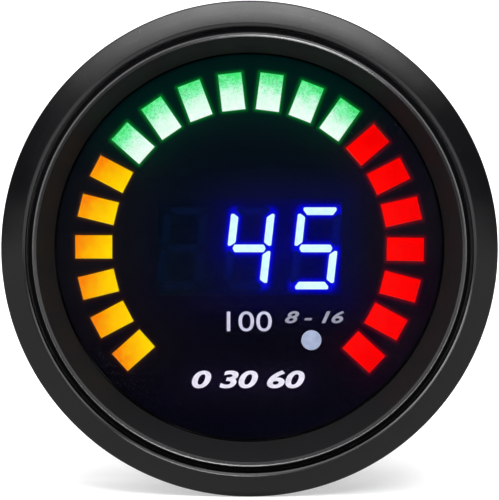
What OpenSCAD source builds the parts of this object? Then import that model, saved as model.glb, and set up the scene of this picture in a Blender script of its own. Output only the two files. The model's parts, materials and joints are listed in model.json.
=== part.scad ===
// Panel gauge with a ring of light segments and a three-digit display.
// Its axis lies along Y and its dial faces -Y, with Z up. The origin is on the axis, in the plane of the
// bezel's back face, which rests on the panel.

/* [Display] */
// Height of a digit over its outer edges
digit_h = 10.16; // [8:0.1:13]
// Distance between the left and the right bars of a digit
digit_span = 4.64; // [3.6:0.1:6]
// Distance from one digit to the next
digit_pitch = 8.28; // [7:0.1:11]
// Lean of the digits to the right, in degrees
digit_slant = 6.4; // [0:0.2:12]
// Width of a bar
bar_w = 1.04; // [0.7:0.05:1.3]
// Space left where two bars meet at a corner
bar_gap = 0.22; // [0.1:0.02:0.4]
// Thickness of a bar
bar_t = 0.5; // [0.3:0.05:0.8]
// How far the digits sit right of the middle
digit_shift = 0.18; // [0:0.02:0.3]
// How far the digits sit below the middle
digit_drop = 0.16; // [0:0.02:0.4]
// Width of the housing beside the outer digits
module_side = 0.28; // [0.2:0.05:2]
// Height of the housing above and below the digits
module_brim = 2.22; // [1.6:0.05:3.5]
// Overlap of the mask on the housing at its sides
mask_lap_side = 1.45; // [1:0.05:2]
// Overlap of the mask on the housing at its top and bottom
mask_lap_brim = 1.4; // [1:0.05:2]

/* [Segment ring] */
// Number of amber segments, from the lower left
amber_count = 6; // [1:1:8]
// Number of green segments, over the top
green_count = 7; // [1:1:8]
// Number of red segments, down to the lower right
red_count = 7; // [1:1:8]
// Angle of the first segment, in degrees
ring_start = 221.8; // [200:0.5:260]
// Angle from the first segment to the last, in degrees
ring_sweep = 264.5; // [240:0.5:320]
// Length of a segment, towards the middle
segment_l = 4.52; // [3:0.1:6]
// Width of a segment
segment_w = 2.87; // [2:0.05:3.4]
// Distance from the housing's corners to the segments
ring_gap = 2.1; // [1.6:0.1:4]

/* [Indicator] */
// Diameter of the indicator
indicator_d = 2.36; // [1.6:0.1:3]
// How far the indicator is right of the middle
indicator_x = 7.56; // [6:0.1:8.5]
// Distance from the housing's lower edge down to the indicator's middle
indicator_fall = 4.13; // [3.4:0.1:5]

/* [Dial and lens] */
// Margin from the segments to the edge of the dial
dial_margin = 2.43; // [1.8:0.1:5]
// Distance from the lens up to the bezel's back face
lens_depth = 1.2; // [0.8:0.1:3]
// Thickness of the lens
lens_t = 1.5; // [1:0.1:2.5]
// Thickness of the gasket behind the lens
gasket_t = 0.3; // [0.2:0.05:0.6]
// Thickness of the mask
mask_t = 0.4; // [0.2:0.05:0.6]
// Clearance round the lens and the pieces stacked behind it
stack_fit = 0.2; // [0.1:0.05:0.4]

/* [Trim ring] */
// Width of the trim ring's foot on the lens
trim_foot_w = 0.5; // [0.4:0.05:1]
// Clearance between the trim ring and its seat in the barrel
trim_fit = 0.1; // [0.05:0.05:0.2]
// Width of the trim ring's lip
trim_lip_w = 0.7; // [0.55:0.05:0.9]
// Rounding of the trim ring's lip
trim_round = 0.25; // [0.15:0.05:0.35]
// How far the trim ring lies below the bezel's lip
trim_drop = 0.1; // [0:0.05:0.5]

/* [Barrel] */
// Wall of the barrel
barrel_wall = 1.7; // [1.3:0.1:3]
// Step by which the barrel is wider inside the bezel
neck_w = 0.4; // [0.3:0.05:0.5]
// Width of the barrel's lip, which holds the bezel
barrel_lip_w = 0.85; // [0.65:0.05:1.5]
// Thickness of the barrel's lip
barrel_lip_t = 0.8; // [0.5:0.1:1.2]
// Width of the ledge that carries the light box
ledge_w = 1.1; // [0.8:0.1:2]
// Thickness of the ledge
ledge_t = 1.2; // [0.8:0.1:2]
// Diameter of a screw boss
boss_d = 4.8; // [4:0.2:6]
// Length of a screw boss
boss_l = 8; // [6:0.5:12]
// Distance from the bore's wall to the middle of a boss
boss_inset = 2; // [1.5:0.1:2.4]
// Chamfer at the barrel's rear edge
barrel_chamfer = 0.4; // [0.2:0.1:0.8]

/* [Bezel] */
// How far the bezel stands out past the barrel
flange_reach = 4; // [3:0.25:8]
// Height of the bezel's outer edge
bezel_edge_h = 2.6; // [1.8:0.1:3.2]
// Height of the bezel's lip
bezel_lip_h = 4; // [3.4:0.1:6]
// Rounding of the bezel's lip
bezel_lip_round = 0.35; // [0.2:0.05:0.5]
// Rounding of the bezel's outer edge
bezel_edge_round = 0.5; // [0.3:0.05:0.8]
// Chamfer at the bezel's back edge
bezel_chamfer = 0.3; // [0.1:0.05:0.6]
// Height of the step in the bezel that rests under the barrel's lip
bezel_step_h = 1.2; // [0.8:0.1:1.6]
// Clearance between the bezel and the barrel
bezel_fit = 0.05; // [0.02:0.01:0.15]
// Clearance between the bezel and the barrel's lip
lip_fit = 0.15; // [0.05:0.05:0.4]
// Width of the groove between the bezel and the trim ring
groove_w = 0.35; // [0.2:0.05:0.6]

/* [Light box] */
// Height of the light box, the same as the display housing's
light_box_h = 6.6; // [5:0.1:9]
// Thickness of the light box's front plate
front_plate_t = 1; // [0.8:0.1:1.5]
// Wall outside and inside the segment cells
cell_wall = 1.1; // [0.8:0.1:1.5]
// Wall round the display housing
well_wall = 1; // [0.8:0.1:1.5]
// Clearance round the display housing
well_fit = 0.2; // [0.1:0.05:0.3]
// Clearance round a light guide
guide_fit = 0.05; // [0.03:0.01:0.1]
// How far a light guide stays below the mask's front
guide_recess = 0.05; // [0.02:0.01:0.1]
// Chamfer on a light guide's rear end
guide_chamfer = 0.4; // [0.2:0.05:0.6]
// Diameter of a screw post
post_d = 5; // [4:0.1:6]
// Distance from the housing's side in to a post's middle
post_inset = 1.7; // [1:0.1:3]
// Distance from the housing's top or bottom out to a post's middle
post_rise = 2.9; // [2.6:0.1:3.5]
// Thickness of the ribs between the ring and the well
rib_t = 1.2; // [0.8:0.1:2]
// Number of pockets in the part of the ring that has no cells
pocket_count = 3; // [1:1:5]

/* [Lights] */
// Length of a light source
led_l = 3.2; // [2.6:0.1:3.6]
// Width of a light source
led_w = 2; // [1.4:0.1:2.4]
// Height of a light source's body
led_h = 1.1; // [0.8:0.1:1.6]
// Diameter of a light source's window
led_eye_d = 1.5; // [1:0.1:1.9]
// Height of a light source's window over its body
led_eye_h = 0.2; // [0.1:0.05:0.4]
// Distance from a light source to its guide
led_gap = 0.4; // [0.2:0.1:0.8]

/* [Boards] */
// Thickness of both boards
board_t = 1.6; // [1:0.1:2]
// Distance between the boards, and the length of the spacers
board_gap = 10.6; // [9:0.1:20]
// Distance from the power board to the barrel's rear edge
rear_room = 4.2; // [3.6:0.1:12]
// Clearance round the boards
board_fit = 0.4; // [0.2:0.05:0.8]
// Clearance round what passes through a board
hole_fit = 0.1; // [0.05:0.05:0.2]
// Width of a spacer over its flats
spacer_af = 5; // [4:0.1:5.5]
// Diameter of a spacer's threaded end and of its screw
spacer_thread_d = 2.4; // [2:0.1:3]
// How far a spacer's threaded end reaches into its post
spacer_bite = 4; // [3:0.1:5]
// Clearance in a threaded hole
thread_fit = 0.05; // [0.02:0.01:0.09]
// Depth of a threaded hole past its screw
thread_spare = 0.5; // [0.3:0.1:1]
// Length of a board screw under its head
board_screw_l = 6; // [4:0.1:8]
// Diameter of a board screw's head
board_head_d = 4.4; // [3.6:0.1:5]
// Height of a board screw's head
board_head_h = 1.6; // [1:0.1:2]
// Size of the cross in a screw's head, over the head's diameter
cross_l_share = 0.56; // [0.4:0.02:0.7]
// Width of the cross in a screw's head, over the head's diameter
cross_w_share = 0.14; // [0.08:0.02:0.2]
// Depth of the cross in a screw's head, over the head's height
cross_t_share = 0.5; // [0.3:0.05:0.6]

/* [Display pins] */
// Number of pins in each of the two rows
pin_count = 6; // [3:1:8]
// Distance between two pins of the display
display_pin_pitch = 2.54; // [2:0.01:2.54]
// Diameter of a display pin
display_pin_d = 0.5; // [0.4:0.05:0.7]
// Distance from the housing's edge to a row of pins
pin_row_inset = 1; // [0.7:0.1:2]
// How far the pins stand out behind the board
pin_tail = 1.2; // [0.8:0.1:2]

/* [Parts on the boards] */
// Width of a driver chip
driver_w = 5.3; // [4:0.1:6]
// Length of a driver chip
driver_l = 8.2; // [6:0.1:10]
// Distance from the board's edge to the middle of a driver chip
driver_inset = 6.8; // [6:0.1:8]
// Side of the controller chip
controller_w = 7; // [5:0.1:8]
// Distance from the housing's lower edge down to the controller chip
controller_fall = 6; // [5:0.1:7]
// Height of the chips
chip_h = 1.6; // [1:0.1:2]
// Width of a chip's leg
leg_w = 0.4; // [0.2:0.05:0.5]
// Length of a chip's leg
leg_l = 0.9; // [0.5:0.1:1.2]
// Thickness of a chip's leg
leg_t = 0.2; // [0.1:0.05:0.3]
// Distance between two legs of a chip
leg_pitch = 1; // [0.6:0.05:1.4]
// Number of legs on each side of a chip
leg_count = 7; // [4:1:7]
// Length of the connector between the boards
header_l = 12.7; // [8:0.1:15]
// Width of the connector between the boards
header_w = 2.54; // [2:0.1:4]
// Height of the connector's strip on the main board
header_strip_h = 2.5; // [2:0.1:4]
// Step at each side of the connector's strip on the main board
header_step = 0.2; // [0.1:0.05:0.4]
// Diameter of a capacitor
capacitor_d = 6.3; // [5:0.1:7]
// Height of a capacitor
capacitor_h = 7.5; // [5:0.1:9]
// Distance from the connector to each capacitor
capacitor_gap = 2.1; // [1:0.1:2.6]
// Rounding of a capacitor's top
capacitor_round = 0.4; // [0.2:0.1:0.8]
// Side of the inductor
inductor_w = 7; // [5:0.1:8]
// Height of the inductor
inductor_h = 4; // [3:0.1:5]
// Distance from the connector to the inductor
inductor_gap = 2.2; // [1:0.1:2.5]
// Rounding of the inductor's corners
inductor_round = 1.6; // [0.8:0.1:2.2]
// Width of the voltage regulator
regulator_w = 6.5; // [5:0.1:7]
// Length of the voltage regulator's body
regulator_l = 6; // [5:0.1:7]
// Height of the voltage regulator
regulator_h = 2.3; // [1.6:0.1:2.6]

/* [Sockets] */
// Height of both sockets
socket_h = 7; // [6:0.1:9]
// Width of the power socket
power_socket_w = 12.4; // [11:0.1:14.5]
// Number of pins in the power socket
power_pin_count = 4; // [2:1:4]
// Width of the sensor socket
sensor_socket_w = 9.9; // [9:0.1:12]
// Number of pins in the sensor socket
sensor_pin_count = 3; // [2:1:3]
// How far the sockets stand out of the rear cover
socket_proud = 7.5; // [5:0.1:12]
// Depth of the sockets' mouths
socket_mouth = 6.8; // [5:0.1:10]
// Wall of the sockets
socket_wall = 0.9; // [0.7:0.05:1.2]
// Rounding of the sockets' corners
socket_round = 0.8; // [0.4:0.05:1.2]
// Distance from the bracket's strip to the sockets
socket_gap = 2.5; // [2:0.1:4]
// Clearance round the sockets in the rear cover
socket_fit = 0.15; // [0.1:0.05:0.3]
// Width of the latch on each socket
latch_w = 3; // [2:0.1:4]
// Height of the latch on each socket
latch_h = 0.7; // [0.4:0.05:1]
// Length of the latch on each socket
latch_l = 1.8; // [1.2:0.1:2.5]
// Distance from a socket's edge to its latch
latch_inset = 1.2; // [0.8:0.1:2]
// Width of a key rib in each socket
key_w = 0.8; // [0.5:0.05:1]
// Height of a key rib in each socket
key_h = 0.6; // [0.4:0.05:0.9]
// Width of a contact pin
contact_w = 0.64; // [0.5:0.02:0.8]
// Distance between two contact pins
contact_pitch = 2.5; // [2:0.1:2.54]
// How far the contact pins stay below the sockets' edge
contact_recess = 1.6; // [1:0.1:2.5]
// How far the contact pins stand out in front of the power board
contact_tail = 1.2; // [0.8:0.1:2]

/* [Rear cover] */
// Thickness of the rear cover
cover_t = 2; // [1.4:0.1:4]
// Thickness of the seal under the rear cover
cover_seal_t = 0.5; // [0.3:0.05:1]
// How far the seal stays inside the barrel's outer and inner edges
cover_seal_edge = 0.2; // [0.1:0.05:0.4]
// Depth of the cover's spigot in the barrel
spigot_h = 1.5; // [1:0.1:3]
// Wall of the cover's spigot
spigot_t = 1.6; // [1:0.1:2]
// Clearance round the spigot
spigot_fit = 0.1; // [0.05:0.05:0.2]
// Chamfer at the cover's outer edge
cover_chamfer = 0.6; // [0.3:0.1:1]
// Diameter of the bosses round the studs
stud_boss_d = 8; // [6:0.2:9]
// Height of the bosses round the studs
stud_boss_h = 1; // [0.5:0.1:1.5]
// Wall of the frames round the sockets
frame_w = 0.8; // [0.5:0.1:1]
// Height of the frames round the sockets
frame_h = 1; // [0.5:0.1:2]
// Number of cover screws
cover_screw_count = 4; // [4:1:4]
// Diameter of a cover screw
cover_screw_d = 2.5; // [2:0.1:3]
// Length of a cover screw under its head
cover_screw_l = 8; // [6:0.1:10]
// Diameter of a cover screw's head
cover_head_d = 4.5; // [3.6:0.1:5]
// Height of a cover screw's head
cover_head_h = 1.7; // [1:0.1:2]

/* [Studs] */
// Diameter of the studs
stud_d = 4; // [3:0.1:5]
// Distance from the spigot's wall to a stud's middle
stud_inset = 5.6; // [4.6:0.1:7]
// Width of a stud's head over its flats
stud_head_af = 7; // [6:0.1:8]
// Height of a stud's head, inside the cover
stud_head_h = 2.4; // [1.6:0.1:3]
// Chamfer at a stud's end
stud_chamfer = 0.6; // [0.3:0.1:1]
// Clearance of the studs in the rear cover
stud_fit = 0.05; // [0.02:0.01:0.1]
// Length of stud left when the clamp is furthest back
stud_spare = 2.5; // [1:0.1:6]

/* [Clamp] */
// Width of the bracket's strip
strip_w = 14; // [10:0.1:16]
// Thickness of the bracket's strip
strip_t = 1.5; // [1:0.1:2]
// Inner radius of the bracket's bends
bend_r = 2; // [1:0.1:4]
// Distance from the barrel to the bracket's legs
leg_gap = 1.3; // [1:0.1:3]
// Distance from the bezel's back face to the bracket's feet, at rest
panel_gap = 5.5; // [4.5:0.1:10]
// Distance from the rear cover to the bracket, at rest
clamp_room = 6.5; // [5:0.1:12]
// Way that the clamp can go back from rest
clamp_travel = 8.4; // [4:0.1:14]
// Rounding of the bracket's feet
foot_round = 1.5; // [0.5:0.1:2]
// Width of the notch between a leg's two feet
foot_notch = 5; // [3:0.1:7]
// Clearance of the studs in the bracket
bracket_fit = 0.3; // [0.15:0.05:0.6]
// Half width of the rib pressed into the bracket
press_r = 1.6; // [1.2:0.1:2.2]
// Length of the rib pressed into the bracket
press_l = 16; // [10:0.5:20]
// How far the pressed rib stands out of the strip
press_h = 0.8; // [0.5:0.1:1.2]
// Diameter of a washer
washer_d = 9; // [7:0.1:11]
// Thickness of a washer
washer_t = 0.8; // [0.5:0.1:1.2]
// Clearance of the studs in the washers
washer_fit = 0.15; // [0.1:0.05:0.3]

/* [Thumb nuts] */
// Diameter of a thumb nut
nut_d = 11; // [9:0.1:14]
// Length of a thumb nut's knurled head
nut_head_h = 5; // [3:0.1:8]
// Diameter of a thumb nut's collar
nut_collar_d = 7.6; // [6.4:0.1:8.5]
// Length of a thumb nut's collar
nut_collar_h = 3; // [2:0.1:5]
// Depth of the knurling
knurl_t = 0.35; // [0.2:0.05:0.6]
// Number of ridges round a thumb nut
knurl_count = 28; // [16:1:36]
// Chamfer on a thumb nut's edges
nut_chamfer = 0.5; // [0.3:0.1:0.8]

/* [Hidden] */
$fn = 96;
// Overrun of every cut
over = 0.5;
// Bars of a digit, each as [left-right, up-down, lies flat], in halves of the bars' distances
bar_places = [[0, 1, true], [1, 0.5, false], [1, -0.5, false], [0, -1, true],
              [-1, -0.5, false], [-1, 0.5, false], [0, 0, true]];
// Bars that are lit in each of the three digits
lit_bars = [[], [1, 2, 5, 6], [0, 2, 3, 5, 6]];
bar_rise = (digit_h - bar_w) / 2;
digit_count = len(lit_bars);

module_w = digit_count * digit_pitch + 2 * module_side;
module_h = digit_h + 2 * module_brim;
window_w = module_w - 2 * mask_lap_side;
window_h = module_h - 2 * mask_lap_brim;
indicator_y = -module_h / 2 - indicator_fall;

segment_count = amber_count + green_count + red_count;
segment_step = ring_sweep / (segment_count - 1);
ring_in_r = norm([module_w, module_h]) / 2 + ring_gap;
ring_out_r = ring_in_r + segment_l;
ring_r = (ring_in_r + ring_out_r) / 2;

dial_r = ring_out_r + dial_margin;
bore_r = dial_r + trim_foot_w + trim_fit;
stack_r = bore_r - stack_fit;
ledge_r = bore_r - ledge_w;
barrel_r = bore_r + barrel_wall;
neck_r = barrel_r + neck_w;
barrel_lip_r = barrel_r + barrel_lip_w;
bezel_r = barrel_r + flange_reach;
bezel_bore_r = barrel_lip_r + lip_fit;
trim_r = bezel_bore_r - groove_w;
light_box_r = ledge_r - board_fit;
main_board_r = ledge_r - board_fit;
boss_at_r = bore_r - boss_inset;
power_board_r = boss_at_r - boss_d / 2 - board_fit;
spigot_r = bore_r - spigot_fit;
spigot_in_r = spigot_r - spigot_t;
stud_x = spigot_in_r - stud_inset;
leg_x = barrel_r + leg_gap;

lens_z = -lens_depth;
gasket_z = lens_z - lens_t;
mask_z = gasket_z - gasket_t;
box_z = mask_z - mask_t;
main_z = box_z - light_box_h;
main_back_z = main_z - board_t;
power_z = main_back_z - board_gap;
power_back_z = power_z - board_t;
barrel_end_z = power_back_z - rear_room;
cover_z = barrel_end_z - cover_seal_t;
cover_back_z = cover_z - cover_t;
pad_z = barrel_end_z + spigot_h;
lip_z = bezel_step_h + barrel_lip_t;
trim_z = bezel_lip_h - trim_drop;
funnel_slope = (trim_r - trim_lip_w - dial_r) / (trim_z - trim_round - lens_z);
funnel_run = funnel_slope * (lip_z - lens_z);
guide_z = mask_z - guide_recess;
bridge_z = cover_back_z - clamp_room;
bridge_back_z = bridge_z - strip_t;
nut_z = bridge_back_z - washer_t;
nut_back_z = nut_z - nut_collar_h - nut_head_h;
stud_end_z = nut_back_z - clamp_travel - stud_spare;
socket_end_z = cover_back_z - socket_proud;
socket_y = strip_w / 2 + socket_gap + socket_h / 2;
post_x = module_w / 2 - post_inset;
post_y = module_h / 2 + post_rise;
driver_x = main_board_r - driver_inset;
capacitor_x = (header_l + capacitor_d) / 2 + capacitor_gap;
inductor_y = (header_w + inductor_w) / 2 + inductor_gap;
contact_hole_d = contact_w * sqrt(2) + 2 * hole_fit;
pin_row_y = module_h / 2 - pin_row_inset;

// Shapes that several pieces use, in the dial's frame: x right, y up and z towards the viewer

// Points of an arc about [x, z], from one angle to the other
function arc(at, r, from, to, steps = 8) =
    [for (i = [0:steps]) at + r * [cos(from + (to - from) * i / steps), sin(from + (to - from) * i / steps)]];

// Turns the dial's frame so that the dial faces -Y
module on_axis() {
    rotate([90, 0, 0]) children();
}

// A solid between two heights, made from the flat shape that it is given
module slab(from, to) {
    translate([0, 0, min(from, to)]) linear_extrude(abs(to - from)) children();
}

// A ring between two heights
module ring(in_r, out_r, from, to) {
    slab(from, to) difference() {
        circle(out_r);
        circle(in_r);
    }
}

// A rectangle with round corners
module round_rect(w, h, r) {
    square([w - 2 * r, h], center = true);
    square([w, h - 2 * r], center = true);
    for (x = [-1, 1], y = [-1, 1]) translate([x * (w / 2 - r), y * (h / 2 - r)]) circle(r);
}

// The places of the segments from one number up to another
module at_segments(first, count) {
    for (i = [first:first + count - 1])
        rotate(ring_start - i * segment_step) translate([ring_r, 0]) children();
}

// The four places of the screw posts
module at_posts() {
    for (x = [-1, 1], y = [-1, 1]) translate([x * post_x, y * post_y]) children();
}

// The places of the cover screws
module at_cover_screws() {
    for (i = [0:cover_screw_count - 1]) rotate((i + 0.5) * 360 / cover_screw_count)
        translate([boss_at_r, 0]) children();
}

// The two places of the studs
module at_studs() {
    for (x = [-1, 1]) translate([x * stud_x, 0]) children();
}

// The places of the display's pins
module at_display_pins() {
    for (i = [0:pin_count - 1], y = [-1, 1])
        translate([(i - (pin_count - 1) / 2) * display_pin_pitch, y * pin_row_y]) children();
}

// The places of a row of contact pins
module at_contacts(count) {
    for (i = [0:count - 1]) translate([(i - (count - 1) / 2) * contact_pitch, 0]) children();
}

// One bar of a digit, pointed at both ends and leaning with the digit
module bar(place) {
    long = ((place[2] ? digit_span : bar_rise) - bar_gap) / 2;
    half = bar_w / 2;
    outline = [[long, 0], [long - half, half], [half - long, half], [-long, 0],
               [half - long, -half], [long - half, -half]];
    middle = [place[0] * digit_span / 2, place[1] * bar_rise];
    points = [for (p = outline) middle + (place[2] ? p : [p[1], p[0]])];
    polygon([for (p = points) [p[0] + p[1] * tan(digit_slant), p[1]]]);
}

// The bars of all digits that are lit, or the others
module bars(lit) {
    for (i = [0:digit_count - 1])
        translate([(i - (digit_count - 1) / 2) * digit_pitch + digit_shift, -digit_drop])
            for (j = [0:len(bar_places) - 1])
                if (lit == (len([for (k = lit_bars[i]) if (k == j) k]) > 0)) bar(bar_places[j]);
}

// A light guide behind its window, with its rear end chamfered
module guide() {
    w = segment_w - 2 * guide_fit;
    l = segment_l - 2 * guide_fit;
    back_z = main_z + led_h + led_eye_h + led_gap;
    difference() {
        slab(back_z, guide_z) square([l, w], center = true);
        for (side = [-1, 1]) translate([0, side * w / 2, back_z]) rotate([45, 0, 0])
            cube([l + 2 * over, guide_chamfer, guide_chamfer], center = true);
    }
}

// A light source on the main board
module led() {
    slab(main_z, main_z + led_h) square([led_l, led_w], center = true);
    slab(main_z + led_h, main_z + led_h + led_eye_h) circle(d = led_eye_d);
}

// A chip on the back of a board, with a row of legs on two sides
module chip(w, l, back_z) {
    slab(back_z, back_z - chip_h) square([w, l], center = true);
    for (i = [0:leg_count - 1], side = [-1, 1])
        translate([side * (w + leg_l) / 2, (i - (leg_count - 1) / 2) * leg_pitch])
            slab(back_z, back_z - leg_t) square([leg_l, leg_w], center = true);
}

// A screw whose head lies on a face, with its shank in front of the face
module screw(head_z, shank_d, shank_l, head_d, head_h) {
    difference() {
        union() {
            slab(head_z, head_z + shank_l) circle(d = shank_d);
            slab(head_z - head_h, head_z) circle(d = head_d);
        }
        for (turn = [0, 90]) rotate(turn)
            slab(head_z - head_h - over, head_z - head_h * (1 - cross_t_share))
                square([head_d * cross_l_share, head_d * cross_w_share], center = true);
    }
}

// A socket from the power board out through the rear cover, with two key ribs and a latch
module socket(w, count) {
    mouth_w = w - 2 * socket_wall;
    mouth_h = socket_h - 2 * socket_wall;
    difference() {
        slab(power_back_z, socket_end_z) round_rect(w, socket_h, socket_round);
        slab(socket_end_z - over, socket_end_z + socket_mouth) difference() {
            square([mouth_w, mouth_h], center = true);
            for (x = [-1, 1]) translate([x * mouth_w / 4, (key_h - mouth_h - over) / 2])
                square([key_w, key_h + over], center = true);
        }
        slab(socket_end_z, power_back_z + over) at_contacts(count)
            square(contact_w + 2 * thread_fit, center = true);
    }
    translate([-latch_w / 2, socket_h / 2, socket_end_z + latch_inset]) rotate([90, 0, 90])
        linear_extrude(latch_w)
            polygon([[-socket_wall / 2, 0], [0, 0], [latch_h, latch_l], [-socket_wall / 2, latch_l]]);
}

// Contact pins from the front of the power board into a socket's mouth
module contacts(count) {
    at_contacts(count) slab(power_z + contact_tail, socket_end_z + contact_recess)
        square(contact_w, center = true);
}

// Barrel, bezel and lens

module case_barrel() {
    ledge_z = box_z - front_plate_t;
    color([0.06, 0.06, 0.065]) on_axis() difference() {
        union() {
            rotate_extrude() polygon([[bore_r, lens_z], [bore_r + funnel_run, lip_z], [barrel_lip_r, lip_z],
                [barrel_lip_r, bezel_step_h], [neck_r, bezel_step_h], [neck_r, 0], [barrel_r, 0],
                [barrel_r, barrel_end_z + barrel_chamfer], [barrel_r - barrel_chamfer, barrel_end_z],
                [bore_r, barrel_end_z], [bore_r, ledge_z - ledge_t], [ledge_r, ledge_z - ledge_t],
                [ledge_r, ledge_z], [bore_r, ledge_z]]);
            at_cover_screws() slab(pad_z, pad_z + boss_l) circle(d = boss_d);
        }
        at_cover_screws() slab(pad_z - over, cover_back_z + cover_screw_l + thread_spare)
            circle(d = cover_screw_d + 2 * thread_fit);
    }
}

module bezel_ring() {
    in_r = neck_r + bezel_fit;
    edge = [bezel_r - bezel_edge_round, bezel_edge_h - bezel_edge_round];
    lip = [bezel_bore_r + bezel_lip_round, bezel_lip_h - bezel_lip_round];
    way = lip - edge;
    face_angle = atan2(way[1], way[0]) - acos((bezel_edge_round - bezel_lip_round) / norm(way));
    color([0.02, 0.02, 0.022]) on_axis() rotate_extrude() polygon(concat(
        [[in_r, 0], [bezel_r - bezel_chamfer, 0], [bezel_r, bezel_chamfer]],
        arc(edge, bezel_edge_round, 0, face_angle), arc(lip, bezel_lip_round, face_angle, 180),
        [[bezel_bore_r, bezel_step_h], [in_r, bezel_step_h]]));
}

module trim_ring() {
    foot_r = dial_r + trim_foot_w;
    lip_top = trim_z - trim_round;
    color([0.1, 0.1, 0.1]) on_axis() rotate_extrude() polygon(concat(
        [[dial_r, lens_z], [foot_r, lens_z], [foot_r + funnel_run, lip_z], [trim_r, lip_z]],
        arc([trim_r - trim_round, lip_top], trim_round, 0, 90),
        arc([trim_r - trim_lip_w + trim_round, lip_top], trim_round, 90, 180)));
}

module lens() {
    color([0.3, 0.3, 0.35, 0.35]) on_axis() slab(gasket_z, lens_z) circle(stack_r);
}

module lens_gasket() {
    color([0.03, 0.03, 0.03]) on_axis() ring(dial_r, stack_r, mask_z, gasket_z);
}

module dial_mask() {
    color([0.02, 0.02, 0.03]) on_axis() slab(box_z, mask_z) difference() {
        circle(stack_r);
        square([window_w, window_h], center = true);
        at_segments(0, segment_count) square([segment_l, segment_w], center = true);
        translate([indicator_x, indicator_y]) circle(d = indicator_d + 2 * guide_fit);
    }
}

// Light box and what it holds

module light_box() {
    well_w = module_w + 2 * well_fit;
    well_h = module_h + 2 * well_fit;
    in_r = ring_in_r - cell_wall;
    post_hole_d = spacer_thread_d + 2 * thread_fit;
    color([0.86, 0.86, 0.84]) on_axis() difference() {
        union() {
            slab(box_z - front_plate_t, box_z) circle(stack_r);
            ring(in_r, light_box_r, main_z, box_z);
            slab(main_z, box_z) square([well_w + 2 * well_wall, well_h + 2 * well_wall], center = true);
            slab(main_z, box_z) for (turn = [0, 90]) rotate(turn)
                square([2 * in_r + cell_wall, rib_t], center = true);
            slab(main_z, box_z) at_posts() circle(d = post_d);
            slab(main_z, box_z) translate([indicator_x, indicator_y])
                circle(d = indicator_d + 2 * cell_wall);
        }
        slab(main_z - over, box_z + over) {
            square([well_w, well_h], center = true);
            at_segments(0, segment_count) square([segment_l, segment_w], center = true);
            translate([indicator_x, indicator_y]) circle(d = indicator_d + 2 * guide_fit);
        }
        slab(main_z - over, main_z + spacer_bite + thread_spare) at_posts() circle(d = post_hole_d);
        light_box_pockets();
    }
}

// Pockets in the back of the light box, where the ring has no cells
module light_box_pockets() {
    first = ring_start - ring_sweep - segment_step;
    span = (360 - ring_sweep - 2 * segment_step) / pocket_count;
    web = 2 * asin(rib_t / 2 / ring_in_r);
    for (i = [0:pocket_count - 1]) rotate(first - i * span - span + web / 2)
        rotate_extrude(angle = span - web) translate([ring_in_r, main_z - over])
            square([segment_l, light_box_h - front_plate_t + over]);
}

module amber_guides() {
    color([1, 0.65, 0.05]) on_axis() at_segments(0, amber_count) guide();
}

module green_guides() {
    color([0.6, 0.95, 0.75]) on_axis() at_segments(amber_count, green_count) guide();
}

module red_guides() {
    color([1, 0.05, 0.02]) on_axis() at_segments(amber_count + green_count, red_count) guide();
}

module amber_leds() {
    color([0.95, 0.85, 0.5]) on_axis() at_segments(0, amber_count) led();
}

module green_leds() {
    color([0.8, 0.95, 0.85]) on_axis() at_segments(amber_count, green_count) led();
}

module red_leds() {
    color([0.95, 0.7, 0.68]) on_axis() at_segments(amber_count + green_count, red_count) led();
}

module indicator_guide() {
    color([0.7, 0.75, 0.88]) on_axis() translate([indicator_x, indicator_y])
        slab(main_z + led_h + led_eye_h + led_gap, guide_z) circle(d = indicator_d);
}

module indicator_led() {
    color([0.85, 0.88, 0.95]) on_axis() translate([indicator_x, indicator_y]) {
        slab(main_z, main_z + led_h) square(led_eye_d, center = true);
        slab(main_z + led_h, main_z + led_h + led_eye_h) circle(d = led_eye_d / 2);
    }
}

module display_module() {
    color([0.08, 0.08, 0.1]) on_axis() difference() {
        slab(main_z, box_z) square([module_w, module_h], center = true);
        slab(box_z - bar_t, box_z + over) {
            bars(true);
            bars(false);
        }
    }
}

module digit_bars_lit() {
    color([0.8, 1, 0.98]) on_axis() slab(box_z - bar_t, box_z) bars(true);
}

module digit_bars_dark() {
    color([0.2, 0.2, 0.3]) on_axis() slab(box_z - bar_t, box_z) bars(false);
}

module display_pins() {
    color([0.75, 0.75, 0.75]) on_axis() slab(main_back_z - pin_tail, main_z) at_display_pins()
        circle(d = display_pin_d);
}

// Boards and what they carry

module main_board() {
    color([0.05, 0.3, 0.12]) on_axis() slab(main_back_z, main_z) difference() {
        circle(main_board_r);
        at_posts() circle(d = spacer_thread_d + 2 * hole_fit);
        at_display_pins() circle(d = display_pin_d + 2 * hole_fit);
    }
}

module driver_chips() {
    color([0.1, 0.1, 0.11]) on_axis() for (x = [-1, 1]) translate([x * driver_x, 0])
        chip(driver_w, driver_l, main_back_z);
}

module controller_chip() {
    color([0.1, 0.1, 0.11]) on_axis() translate([0, -module_h / 2 - controller_fall])
        chip(controller_w, controller_w, main_back_z);
}

module board_header() {
    color([0.07, 0.07, 0.07]) on_axis() {
        slab(main_back_z - header_strip_h, main_back_z)
            square([header_l - 2 * header_step, header_w - 2 * header_step], center = true);
        slab(power_z, main_back_z - header_strip_h) square([header_l, header_w], center = true);
    }
}

module board_spacers() {
    color([0.8, 0.65, 0.3]) on_axis() difference() {
        union() {
            slab(power_z, main_back_z) at_posts() circle(d = spacer_af / cos(30), $fn = 6);
            slab(main_back_z, main_z + spacer_bite) at_posts() circle(d = spacer_thread_d);
        }
        slab(power_z - over, power_back_z + board_screw_l + thread_spare) at_posts()
            circle(d = spacer_thread_d + 2 * thread_fit);
    }
}

module board_screws() {
    color([0.7, 0.7, 0.72]) on_axis() at_posts()
        screw(power_back_z, spacer_thread_d, board_screw_l, board_head_d, board_head_h);
}

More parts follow.
